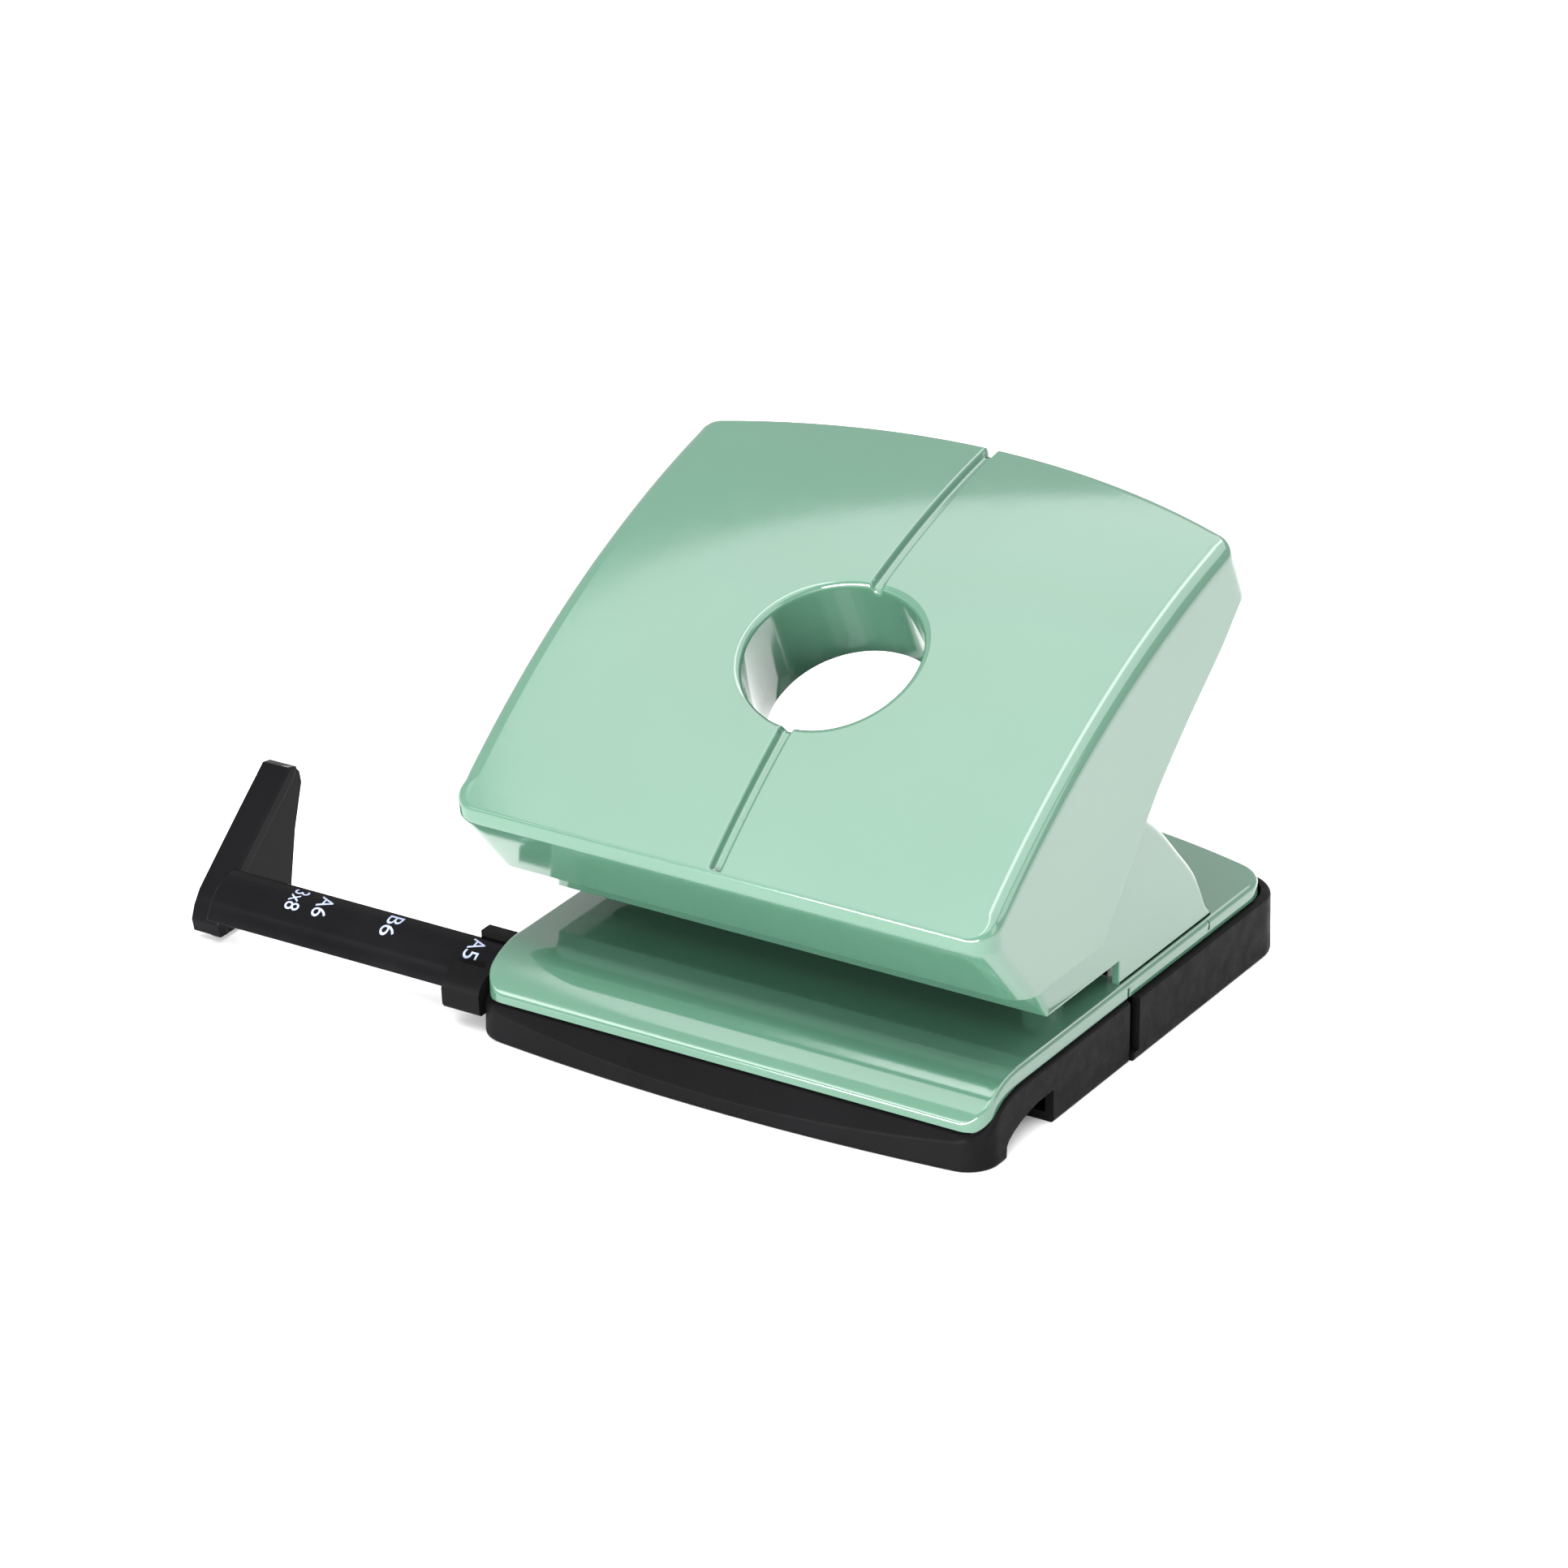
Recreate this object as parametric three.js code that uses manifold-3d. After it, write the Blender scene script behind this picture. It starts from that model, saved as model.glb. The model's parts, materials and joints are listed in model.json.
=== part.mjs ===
// Two-hole desk punch with a sliding paper stop.  Millimetres, +Z up.
// The paper goes in along +Y, the paper stop slides out along -X, and the
// origin is the middle of the base where it stands on the table.
import * as THREE from 'three';
import { mergeVertices } from 'three/addons/utils/BufferGeometryUtils.js';
import Module from 'manifold-3d';

const wasm = await Module();
wasm.setup();

// Punching geometry
const HOLE_SPACING = 80;        // centre to centre of the two holes in the paper
const HOLE_SETBACK = 12;        // from the paper's edge to the hole centres
const DEPTH_STOP_Y = 5.5;       // where the paper's edge comes to rest
const PIN_Y = DEPTH_STOP_Y - HOLE_SETBACK;
const PIN_RADIUS = 2.75;
const PIN_TIP_Z = 19.0;
const PIN_TOP_Z = 38.0;
const HEAD_RADIUS = 3.6;
const HEAD_HEIGHT = 1.6;
const DIE_RADIUS = 5;
const DIE_TOP_Z = 12.7;         // just under the deck
const SCREW_RADIUS = 1.5;
const RAIL_GAP = 0.35;          // round the paper stop's bar

// Base
const DECK_Z = 14.4;            // paper lies on this level
const SLOT_Z = 18.65;           // ceiling of the paper slot
const DECK_THICK = 1.4;
const BASE_HALF = 48.6;
const LIP_Y = -41.2;
const BASE_REAR = 56.1;         // rear edge at the corners, it bows out in the middle
const BASE_BOW = 8.1;
const CORNER = 6;
const SCREW_X = 24;
const SCREW_Y = 28;

// Trays under the base
const TRAY_HALF = 49.3;
const TRAY_WALL = 1.6;
const TRAY_TOP = 11.3;
const TRAY_RIM_Z = 6.6;         // height of the front wall, under the rolled lip
const TRAY_FRONT = -41.9;       // at the corners, it bows out in the middle
const TRAY_FRONT_BOW = 3.1;
const TRAY_INNER_FRONT = -39.9;
const RIB_XS = [-44, -20, 4];
const POST_X = 30;
const POST_TOP = 8.6;
const CHIP_HALF = 49.8;
const CHIP_REAR = 59.2;
const CHIP_BOW = 8.4;
const FLAP_HINGE_Y = 7.05;
const FLAP_GAP = 0.15;          // each side of the hinge line
const TRAY_END_Y = 6.6;         // the front tray's walls and posts stop here
const FLAP_WALL_Y = 8.9;

// Handle
const HINGE_Y = -24;
const HINGE_Z = 38;
const HINGE_RADIUS = 2;
const TOP_RADIUS = 183;         // the handle's top is part of a large cylinder
const TOP_CENTRE_Y = 76.2;
const TOP_CENTRE_Z = -93.5;
const SHELL = 2;
const HANDLE_HALF = 51.5;
const FINGER_HOLE_Y = -8.3;
const FINGER_HOLE_RADIUS = 15.5;
const TUBE_RADIUS = 17.3;
const TUBE_LENGTH = 18;
const GROOVE_HALF = 1.1;
const GROOVE_DEPTH = 0.9;

// Inner cover
const COVER_HALF = 47.6;
const COVER_WALL = 1.4;
const COVER_REAR = 37.6;
const SADDLE_Z = 38;
const SADDLE_HALF = 31;
const LEVER_SLOT_HALF = 4.4;
const STOP_HALF = 30;           // the depth stop behind the paper slot reaches this far out

// Steel frames, one around each punch pin, on their common steel base
const FRAME_THICK = 1.5;
const FRAME_HALF = 5.8;
const FRAME_FRONT = 7.5;
const FRAME_REAR = 17;
const FRAME_LOW_Z = 10.7;
const BRIDGE_Z = 20.4;          // the frame's lower bridge guides the pin
const STEEL_HALF = 46.5;
const STEEL_LOW_Z = 9;
const STEEL_TOP_Z = 10.5;
const RIVET_YS = [9.4, 13.4];
const RIVET_HOLE_RADIUS = 1.6;
const RUN_GAP = 0.07;           // radial running clearance

const SIDES = { left: -1, right: 1 };

const COLOURS = {
  mint: [0xa6cdbb, 0.25, 0],
  black: [0x29282a, 0.5, 0],
  rail: [0x1f1f22, 0.3, 0],
  steel: [0xa9adb0, 0.35, 0.9],
  tool: [0xc4c7c9, 0.2, 0.95],
  spring: [0x8f9396, 0.3, 0.9],
};

// ---- small tools -------------------------------------------------------

function solid(geometry) {
  const bare = new THREE.BufferGeometry();
  bare.setAttribute('position', geometry.getAttribute('position'));
  if (geometry.index) bare.setIndex(geometry.index);
  const merged = mergeVertices(bare, 1e-4);
  return new wasm.Manifold(new wasm.Mesh({
    numProp: 3,
    vertProperties: new Float32Array(merged.getAttribute('position').array),
    triVerts: new Uint32Array(merged.index.array),
  }));
}

function shapeOf(points) {
  return new THREE.Shape(points.map(([u, v]) => new THREE.Vector2(u, v)));
}

// A plan outline (x, y) raised from z0 to z1.
function upright(shape, z0, z1) {
  const outline = shape instanceof THREE.Shape ? shape : shapeOf(shape);
  const geometry = new THREE.ExtrudeGeometry(outline, {
    depth: z1 - z0, bevelEnabled: false, curveSegments: 6,
  });
  geometry.translate(0, 0, z0);
  return solid(geometry);
}

// A side outline (y, z) drawn out along X from x0 to x1.
function across(points, x0, x1) {
  const geometry = new THREE.ExtrudeGeometry(shapeOf(points), {
    depth: x1 - x0, bevelEnabled: false,
  });
  const turn = new THREE.Matrix4().set(
    0, 0, 1, x0,
    1, 0, 0, 0,
    0, 1, 0, 0,
    0, 0, 0, 1,
  );
  return solid(geometry.applyMatrix4(turn));
}

function box(x0, x1, y0, y1, z0, z1) {
  const geometry = new THREE.BoxGeometry(x1 - x0, y1 - y0, z1 - z0);
  geometry.translate((x0 + x1) / 2, (y0 + y1) / 2, (z0 + z1) / 2);
  return solid(geometry);
}

// A round bar from one point to another.
function rod(radius, from, to, sides = 24, endRadius = radius) {
  const start = new THREE.Vector3(...from);
  const end = new THREE.Vector3(...to);
  const run = new THREE.Vector3().subVectors(end, start);
  const geometry = new THREE.CylinderGeometry(endRadius, radius, run.length(), sides);
  const turn = new THREE.Quaternion().setFromUnitVectors(
    new THREE.Vector3(0, 1, 0), run.clone().normalize());
  geometry.applyQuaternion(turn);
  geometry.translate(...start.add(end).multiplyScalar(0.5).toArray());
  return solid(geometry);
}

function join(parts) {
  return parts.reduce((sum, part) => sum.add(part));
}

// Outline of the base or handle seen from above.  Front and rear edges bow
// outwards by the given amounts, and the corners are rounded.
function planShape(half, front, frontBow, rear, rearBow, corner) {
  const shape = new THREE.Shape();
  shape.moveTo(-half, rear - corner);
  shape.lineTo(-half, front + corner);
  shape.quadraticCurveTo(-half, front, -half + corner, front);
  shape.quadraticCurveTo(0, front - 2 * frontBow, half - corner, front);
  shape.quadraticCurveTo(half, front, half, front + corner);
  shape.lineTo(half, rear - corner);
  shape.quadraticCurveTo(half, rear, half - corner, rear + rearBow * corner / half);
  shape.quadraticCurveTo(0, rear + 2 * rearBow, -half + corner, rear + rearBow * corner / half);
  shape.quadraticCurveTo(-half, rear, -half, rear - corner);
  return shape;
}

// Height of the handle's top surface over the point y.
function topHeight(y, drop = 0) {
  const radius = TOP_RADIUS - drop;
  return TOP_CENTRE_Z + Math.sqrt(radius * radius - (y - TOP_CENTRE_Y) ** 2);
}

// ---- base --------------------------------------------------------------

// Rim contour of the base, seen from the side: level, then rolling down to the lip.
function rimLine(drop) {
  return [
    [LIP_Y + drop * 0.7, 8.2 - drop * 0.7],
    [-40.4 + drop * 0.7, 9.4 - drop * 0.7],
    [-38.6 + drop * 0.6, 11.2 - drop * 0.8],
    [-36 + drop * 0.4, 13 - drop * 0.9],
    [-33 + drop * 0.2, 14.05 - drop],
    [-30, DECK_Z - drop],
  ];
}

function basePlate() {
  const skirt = [
    [80, 11.6], [-30, 11.6], [-34.5, 10.7], [-38.5, 8.2], [-40.4, 6.9], [LIP_Y, 6.9],
  ];
  const outer = upright(planShape(BASE_HALF, LIP_Y, 0, BASE_REAR, BASE_BOW, CORNER), 0, 30)
    .intersect(across([...rimLine(0), [80, DECK_Z], ...skirt], -60, 60));
  const inner = upright(planShape(BASE_HALF - 1.4, LIP_Y + 1.4, 0, BASE_REAR - 1.4, BASE_BOW, CORNER), 0, 30)
    .intersect(across([...rimLine(DECK_THICK), [80, DECK_Z - DECK_THICK], [80, 0], [LIP_Y + 1, 0]], -60, 60));
  let plate = outer.subtract(inner);
  for (const side of Object.values(SIDES)) {
    const x = side * HOLE_SPACING / 2;
    const screwX = side * SCREW_X;
    plate = plate
      .subtract(rod(PIN_RADIUS + 0.35, [x, PIN_Y, 5], [x, PIN_Y, 20]))
      .subtract(box(x - FRAME_HALF - 0.5, x + FRAME_HALF + 0.5, FRAME_FRONT - 0.3, FRAME_REAR + 0.4, 5, 20))
      .subtract(rod(SCREW_RADIUS + 0.25, [screwX, SCREW_Y, 5], [screwX, SCREW_Y, 20], 16));
  }
  return plate.subtract(across(railPassage(RAIL_GAP), -60, -BASE_HALF + 3));
}

// Section of the paper stop's bar: level at the back, rolling down in front.
const RAIL_TOP = [[-30.5, 12], [-33, 11.65], [-35.2, 10.7], [-37, 9.1], [-38.3, 7.2], [-39, 5.6]];
const RAIL_UNDER = [[-37.5, 5], [-36.8, 6.6], [-35.8, 8.1], [-34.3, 9.4], [-32.6, 10.1], [-30.5, 10.4]];

function railPassage(gap) {
  return [
    [-30.5 + gap, 12 + gap], [-33, 11.65 + gap],
    [-35.2 - gap * 0.4, 10.7 + gap], [-37 - gap * 0.7, 9.1 + gap * 0.7],
    [-38.3 - gap, 7.2 + gap * 0.4], [-39 - gap, 5.6], [-39 - gap, 5.0 - gap], [-37.5 + gap, 5 - gap],
    [-36.8 + gap * 0.8, 6.6 - gap * 0.5], [-35.8 + gap * 0.7, 8.1 - gap * 0.7],
    [-34.3 + gap * 0.3, 9.4 - gap], [-32.6, 10.1 - gap], [-30.5 + gap, 10.4 - gap],
  ];
}

function railBracket() {
  const outline = [
    [-41.9, 3.8], [-42.3, 7.6], [-41.7, 8.9], [-40.4, 9.9], [-38.4, 10.7], [-36, 11.6], [-30, 13],
    [-27.2, 12.9], [-27.2, 3.8],
  ];
  const window = [[-38.2, 30], [-38.2, 7.4], [-36.9, 8.2], [-34, 9.6], [-30.1, 10], [-30.1, 30]];
  return across(outline, -55.5, -BASE_HALF - 0.3)
    .subtract(across(window, -56, -TRAY_HALF));
}

// The front wall is chamfered down to its bowed outer edge.
function trayWalls() {
  const profile = [
    [-45.6, 0], [20, 0], [20, TRAY_TOP], [-30, TRAY_TOP], [-34.5, 10.4], [-38.5, 7.9], [-40.5, TRAY_RIM_Z],
    [-41.55, TRAY_RIM_Z], [-45.6, 2.27],
  ];
  const outline = planShape(TRAY_HALF, TRAY_FRONT, TRAY_FRONT_BOW, 30, 0, CORNER);
  const innerOutline = planShape(TRAY_HALF - TRAY_WALL, TRAY_INNER_FRONT, 0, 40, 0, CORNER - 1);
  const hollow = upright(innerOutline, TRAY_WALL, 40)
    .intersect(box(-60, 60, -39.6, 20, TRAY_WALL, 40));
  return upright(outline, 0, 30)
    .intersect(across(profile, -60, 60))
    .subtract(hollow)
    .subtract(box(-60, 60, FLAP_HINGE_Y - FLAP_GAP, 60, -1, 40))
    .subtract(box(-60, 60, TRAY_END_Y, 60, TRAY_WALL, 40));
}

// Rib that carries the paper stop's bar.
function trayRib(x) {
  const profile = [
    [-39.8, 1], [-29.2, 1], [-29.2, POST_TOP], [-33, POST_TOP], [-36, 6.8], [-37.2, 4], [-39.8, 3.8],
  ];
  return across(profile, x, x + TRAY_WALL);
}

// Posts that the steel base stands on.
function trayPosts(x) {
  return join([[-17, -13], [1, 5]].map(([y0, y1]) => box(x - 2.5, x + 2.5, y0, y1, 1, POST_TOP)));
}

// Tab on the inside of a side wall, which closes the joint between the two trays.
function jointTab(side) {
  const face = side * (TRAY_HALF - TRAY_WALL);
  const [low, high] = [face - side * 1.2, face].sort((a, b) => a - b);
  const tab = box(low, high, TRAY_END_Y - 2, FLAP_WALL_Y + 0.8, TRAY_WALL + 0.4, POST_TOP);
  const root = box(Math.min(low, face + side * 0.2), Math.max(high, face + side * 0.2),
    TRAY_END_Y - 2, TRAY_END_Y, TRAY_WALL + 0.4, POST_TOP);
  return tab.add(root);
}

// Grip notch in the right side, for folding the chip tray down.
function gripNotch() {
  const arch = [
    [-34.3, -1], [-34.2, 2.4], [-32, 4.1], [-29.9, 4.9], [-26.8, 5.7], [-24, 6.1], [-19, 6.1], [-19, -1],
  ];
  return across(arch, 43, 60);
}

function baseTray() {
  const springSeat = box(-34, -31, -29.2, -24, 1, 9.5);
  const posts = Object.values(SIDES).map((side) => trayPosts(side * POST_X));
  const tabs = Object.values(SIDES).map(jointTab);
  return join([trayWalls(), ...RIB_XS.map(trayRib), ...posts, ...tabs, railBracket(), springSeat])
    .subtract(across(railPassage(RAIL_GAP), -60, TRAY_HALF - 2))
    .subtract(gripNotch());
}

function chipTray() {
  const hingeEdge = FLAP_HINGE_Y + FLAP_GAP;
  const profile = [
    [hingeEdge, 0], [80, 0], [80, TRAY_TOP],
    [FLAP_WALL_Y, TRAY_TOP], [FLAP_WALL_Y, TRAY_WALL], [hingeEdge, TRAY_WALL],
  ];
  const outline = (inset) => planShape(CHIP_HALF - inset, -20, 0, CHIP_REAR - inset, CHIP_BOW, CORNER + 1);
  const outer = upright(outline(0), 0, 30)
    .intersect(across(profile, -60, 60));
  const inner = upright(outline(TRAY_WALL), TRAY_WALL, 30);
  return outer.subtract(inner);
}

// ---- paper stop --------------------------------------------------------

const STOP_X = -105.3;          // the face the paper touches, at the A5 setting
const RAIL_END_X = 10;

function formatRail() {
  const bar = across([...RAIL_TOP, ...RAIL_UNDER], STOP_X - 1, RAIL_END_X);
  const fin = [
    [-36.9, 3.8], [-36.3, 1.4], [-35.4, 0.8], [-15, 0.8], [-14.2, 2.4], [-12.6, 12.5], [-10.3, 20.6],
    [-10.8, 22.8], [-12.4, 24.5], [-14.6, 24.9], [-22.2, 18.7], [-29.8, 12.4], [-34.3, 8.6], [-36, 6.2],
  ];
  const rimEdge = [
    [-36.9, 3.8], [-36.3, 1.4], [-34, 1.2], [-34.6, 3.8], [-33.6, 5.6], [-32.2, 7.2], [-28, 10.6],
    [-20.6, 16.7], [-13.4, 22.6],
    [-12.4, 24.5], [-14.6, 24.9], [-22.2, 18.7], [-29.8, 12.4], [-34.3, 8.6], [-36, 6.2],
  ];
  return bar
    .add(across(fin, STOP_X - 2.3, STOP_X - 0.6))
    .add(across(rimEdge, STOP_X - 5.8, STOP_X));
}

function railSpring() {
  const strip = [
    [-40, -29.0], [-33.2, -29.0], [-26, -29.75], [-24.8, -29.85], [-23.6, -29.75], [-18, -29.0],
    [-18, -28.6], [-23.6, -29.35], [-24.8, -29.45], [-26, -29.35], [-33.2, -28.6], [-40, -28.6],
  ];
  return upright(strip, 10.2, 12.0).subtract(box(-60, 0, -40, -20, 12.5, 20));
}

// ---- inner cover -------------------------------------------------------

function coverProfile(inset) {
  const lower = SLOT_Z + inset;
  return [
    [-18.5 + inset, lower], [-22.3 + inset, 24], [-26.5 + inset, 30], [-29.6 + inset, 36],
    [-28.8 + inset * 0.8, 41 - inset * 0.4], [-25 + inset * 0.4, 45 - inset], [-10, 47 - inset],
    [2, 47 - inset], [8 - inset * 0.5, 45.6 - inset], [14 - inset * 0.7, 41.5 - inset * 0.8],
    [19.4 - inset * 0.8, 37.2 - inset * 0.7], [25.6 - inset * 0.8, 30.9 - inset * 0.7],
    [32.2 - inset * 0.9, 23.7 - inset * 0.6], [37.5 - inset, DECK_Z + 0.3 - inset],
    [DEPTH_STOP_Y + inset, DECK_Z + 0.3 - inset], [DEPTH_STOP_Y + inset, lower],
  ];
}

function punchCover() {
  const outline = planShape(COVER_HALF, -60, 0, COVER_REAR, 0.4, 3);
  const saddle = (wall) => box(-SADDLE_HALF - wall, SADDLE_HALF + wall, -40, 40, SADDLE_Z - wall, 60);
  const outer = across(coverProfile(0), -COVER_HALF, COVER_HALF)
    .intersect(upright(outline, 0, 60))
    .subtract(saddle(0));
  const inner = across(coverProfile(COVER_WALL), -COVER_HALF + COVER_WALL, COVER_HALF - COVER_WALL)
    .subtract(saddle(COVER_WALL));
  let cover = outer.subtract(inner);
  for (const side of Object.values(SIDES)) {
    const x = side * HOLE_SPACING / 2;
    const screwX = side * SCREW_X;
    const [low, high] = [side * STOP_HALF, side * (COVER_HALF - COVER_WALL)].sort((a, b) => a - b);
    cover = cover
      .subtract(box(low, high, DEPTH_STOP_Y - 1, DEPTH_STOP_Y + COVER_WALL + 0.1, 10, SLOT_Z))
      .subtract(rod(PIN_RADIUS + 0.55, [x, PIN_Y, 15], [x, PIN_Y, 22]))
      .subtract(box(x - LEVER_SLOT_HALF, x + LEVER_SLOT_HALF, -30, 16.5, 36, 60))
      .add(rod(3.2, [screwX, SCREW_Y, DECK_Z + 0.3], [screwX, SCREW_Y, 26.4], 16))
      .subtract(rod(SCREW_RADIUS + RUN_GAP, [screwX, SCREW_Y, 10], [screwX, SCREW_Y, 23], 16));
  }
  return cover;
}

// ---- steel parts -------------------------------------------------------

function steelBase() {
  let plate = box(-STEEL_HALF, STEEL_HALF, -14, 22, STEEL_LOW_Z, STEEL_TOP_Z);
  for (const side of Object.values(SIDES)) {
    const x = side * HOLE_SPACING / 2;
    plate = plate.subtract(rod(3.4, [x, PIN_Y, 8], [x, PIN_Y, 12]));
    for (const y of RIVET_YS) {
      plate = plate.subtract(rod(RIVET_HOLE_RADIUS, [x, y, 8], [x, y, 12], 12));
    }
  }
  return plate;
}

function frame(side) {
  const x = side * HOLE_SPACING / 2;
  const profile = [
    [FRAME_FRONT, FRAME_LOW_Z], [FRAME_REAR, FRAME_LOW_Z], [FRAME_REAR, 31], [9, 41], [-23, 42], [-26.2, 41],
    [-27.4, 38], [-26.2, 35], [-16, BRIDGE_Z], [FRAME_FRONT, BRIDGE_Z],
  ];
  const inner = FRAME_HALF - FRAME_THICK;
  const web = (y0, y1, z0, z1) => box(x - FRAME_HALF + 0.2, x + FRAME_HALF - 0.2, y0, y1, z0, z1);
  let bracket = join([
    across(profile, x - FRAME_HALF, x - inner),
    across(profile, x + inner, x + FRAME_HALF),
    web(FRAME_REAR - FRAME_THICK, FRAME_REAR, FRAME_LOW_Z, 30),
    web(FRAME_FRONT, FRAME_REAR, FRAME_LOW_Z, FRAME_LOW_Z + 1.4),
    web(PIN_Y - 5, PIN_Y + 5, BRIDGE_Z, BRIDGE_Z + FRAME_THICK),
  ]);
  bracket = bracket
    .subtract(rod(PIN_RADIUS + RUN_GAP, [x, PIN_Y, 15], [x, PIN_Y, 25]))
    .subtract(rod(HINGE_RADIUS + RUN_GAP, [x - 9, HINGE_Y, HINGE_Z], [x + 9, HINGE_Y, HINGE_Z]));
  for (const y of RIVET_YS) {
    bracket = bracket.subtract(rod(RIVET_HOLE_RADIUS, [x, y, 8], [x, y, 15], 12));
  }
  return bracket;
}

function rivet(side, y) {
  const x = side * HOLE_SPACING / 2;
  return join([
    rod(1.5, [x, y, 8.2], [x, y, 12.6], 12),
    rod(1.9, [x, y, 7.9], [x, y, 8.8], 12),
    rod(1.9, [x, y, 12.3], [x, y, 13.1], 12),
  ]);
}

function die(side) {
  const x = side * HOLE_SPACING / 2;
  return rod(DIE_RADIUS, [x, PIN_Y, FRAME_LOW_Z], [x, PIN_Y, DIE_TOP_Z])
    .subtract(rod(PIN_RADIUS + 0.09, [x, PIN_Y, 5], [x, PIN_Y, 20]));
}

function punchPin(side) {
  const x = side * HOLE_SPACING / 2;
  const groove = rod(4, [x, PIN_Y, 35.2], [x, PIN_Y, 36.0])
    .subtract(rod(PIN_RADIUS - 0.55, [x, PIN_Y, 35], [x, PIN_Y, 36.4]));
  const tipNotch = rod(4.2, [x, PIN_Y - 5, PIN_TIP_Z - 3], [x, PIN_Y + 5, PIN_TIP_Z - 3]);
  return rod(PIN_RADIUS, [x, PIN_Y, PIN_TIP_Z], [x, PIN_Y, PIN_TOP_Z - 0.5])
    .add(rod(HEAD_RADIUS, [x, PIN_Y, PIN_TOP_Z - HEAD_HEIGHT], [x, PIN_Y, PIN_TOP_Z], 24, HEAD_RADIUS - 0.5))
    .subtract(groove)
    .subtract(tipNotch);
}

function retainer(side) {
  const x = side * HOLE_SPACING / 2;
  return rod(4.1, [x, PIN_Y, 35.25], [x, PIN_Y, 35.95])
    .subtract(rod(PIN_RADIUS - 0.5, [x, PIN_Y, 35], [x, PIN_Y, 37]))
    .subtract(box(x - 1.6, x + 1.6, PIN_Y - 6, PIN_Y, 35, 37));
}

const SPRING_LOW = 22.1;
const SPRING_HIGH = 34.95;
const SPRING_WIRE = 0.45;
const SPRING_TURNS = 5.5;

class Helix extends THREE.Curve {
  constructor(radius, low, high, turns) {
    super();
    Object.assign(this, { radius, low, high, turns });
  }

  getPoint(t, target = new THREE.Vector3()) {
    const angle = t * this.turns * Math.PI * 2;
    return target.set(
      this.radius * Math.cos(angle), this.radius * Math.sin(angle), this.low + t * (this.high - this.low));
  }
}

function returnSpring(side) {
  const path = new Helix(3.55, SPRING_LOW + SPRING_WIRE, SPRING_HIGH - SPRING_WIRE, SPRING_TURNS);
  const section = shapeOf(Array.from({ length: 6 }, (_, i) => [
    SPRING_WIRE * Math.cos(i * Math.PI / 3), SPRING_WIRE * Math.sin(i * Math.PI / 3)]));
  const geometry = new THREE.ExtrudeGeometry(section, { steps: 66, extrudePath: path, bevelEnabled: false });
  geometry.translate(side * HOLE_SPACING / 2, PIN_Y, 0);
  return solid(geometry);
}

function hingePin(side) {
  const x = side * HOLE_SPACING / 2;
  const innerEnd = x - side * (FRAME_HALF + 1.5);
  const outerEnd = x + side * (FRAME_HALF + 0.25);
  const grooveAt = (distance) => [x - side * (FRAME_HALF + distance), HINGE_Y, HINGE_Z];
  const groove = rod(3, grooveAt(0.35), grooveAt(1.05))
    .subtract(rod(HINGE_RADIUS - 0.5, [x - 9, HINGE_Y, HINGE_Z], [x + 9, HINGE_Y, HINGE_Z]));
  return rod(HINGE_RADIUS, [innerEnd, HINGE_Y, HINGE_Z], [outerEnd, HINGE_Y, HINGE_Z]).subtract(groove);
}

function hingeClip(side) {
  const x = side * HOLE_SPACING / 2 - side * (FRAME_HALF + 0.4);
  return rod(3.1, [x, HINGE_Y, HINGE_Z], [x - side * 0.6, HINGE_Y, HINGE_Z], 18)
    .subtract(rod(HINGE_RADIUS - 0.42, [x + side, HINGE_Y, HINGE_Z], [x - side * 2, HINGE_Y, HINGE_Z], 18))
    .subtract(box(x - 2, x + 2, HINGE_Y - 1.2, HINGE_Y + 1.2, HINGE_Z, HINGE_Z + 6));
}

// Cross-headed screw, from below.
function coverScrew(side) {
  const x = side * SCREW_X;
  const y = SCREW_Y;
  return rod(SCREW_RADIUS, [x, y, 12], [x, y, 22.4], 16)
    .add(rod(2 * SCREW_RADIUS, [x, y, 10.9], [x, y, 12.7], 16))
    .subtract(box(x - 2, x + 2, y - 0.4, y + 0.4, 10, 11.7))
    .subtract(box(x - 0.4, x + 0.4, y - 2, y + 2, 10, 11.7));
}

// ---- handle ------------------------------------------------------------

// Wedge-shaped block whose front and rear faces lean back as they go down.
// Each ring is the handle's outline at one height.
function leaningBlock(inset) {
  const levels = [
    { z: 20, front: -27, rear: 66 },
    { z: 28, front: -32.9, rear: 62.5 },
    { z: 41, front: -44.8, rear: 57 },
    { z: 45, front: -45.3, rear: 55.2 },
    { z: 75, front: -45.3, rear: 50.4 },
    { z: 100, front: -45.3, rear: 38 },
  ];
  const rings = levels.map(({ z, front, rear }) => planShape(
    HANDLE_HALF - inset, front + inset, 0, rear - 10.5 - inset, 10.5, 4.5 - inset * 0.5)
    .getPoints(5).slice(0, -1).map((point) => [point.x, point.y, z]));
  const count = rings[0].length;
  const positions = rings.flat(2);
  const faces = [];
  for (let level = 0; level + 1 < rings.length; level += 1) {
    for (let i = 0; i < count; i += 1) {
      const a = level * count + i;
      const b = level * count + (i + 1) % count;
      faces.push(a, b, a + count, b, b + count, a + count);
    }
  }
  for (let i = 1; i + 1 < count; i += 1) {
    faces.push(0, i + 1, i);
    const top = (rings.length - 1) * count;
    faces.push(top, top + i, top + i + 1);
  }
  const geometry = new THREE.BufferGeometry();
  geometry.setAttribute('position', new THREE.Float32BufferAttribute(positions, 3));
  geometry.setIndex(faces);
  return solid(geometry);
}

// Everything under the handle's top surface, lowered by drop.
function underTop(drop) {
  const arc = [];
  for (let y = -60; y <= 70; y += 5) {
    arc.push([y, topHeight(y, drop)]);
  }
  return across([...arc, [70, 0], [-60, 0]], -60, 60);
}

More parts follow.
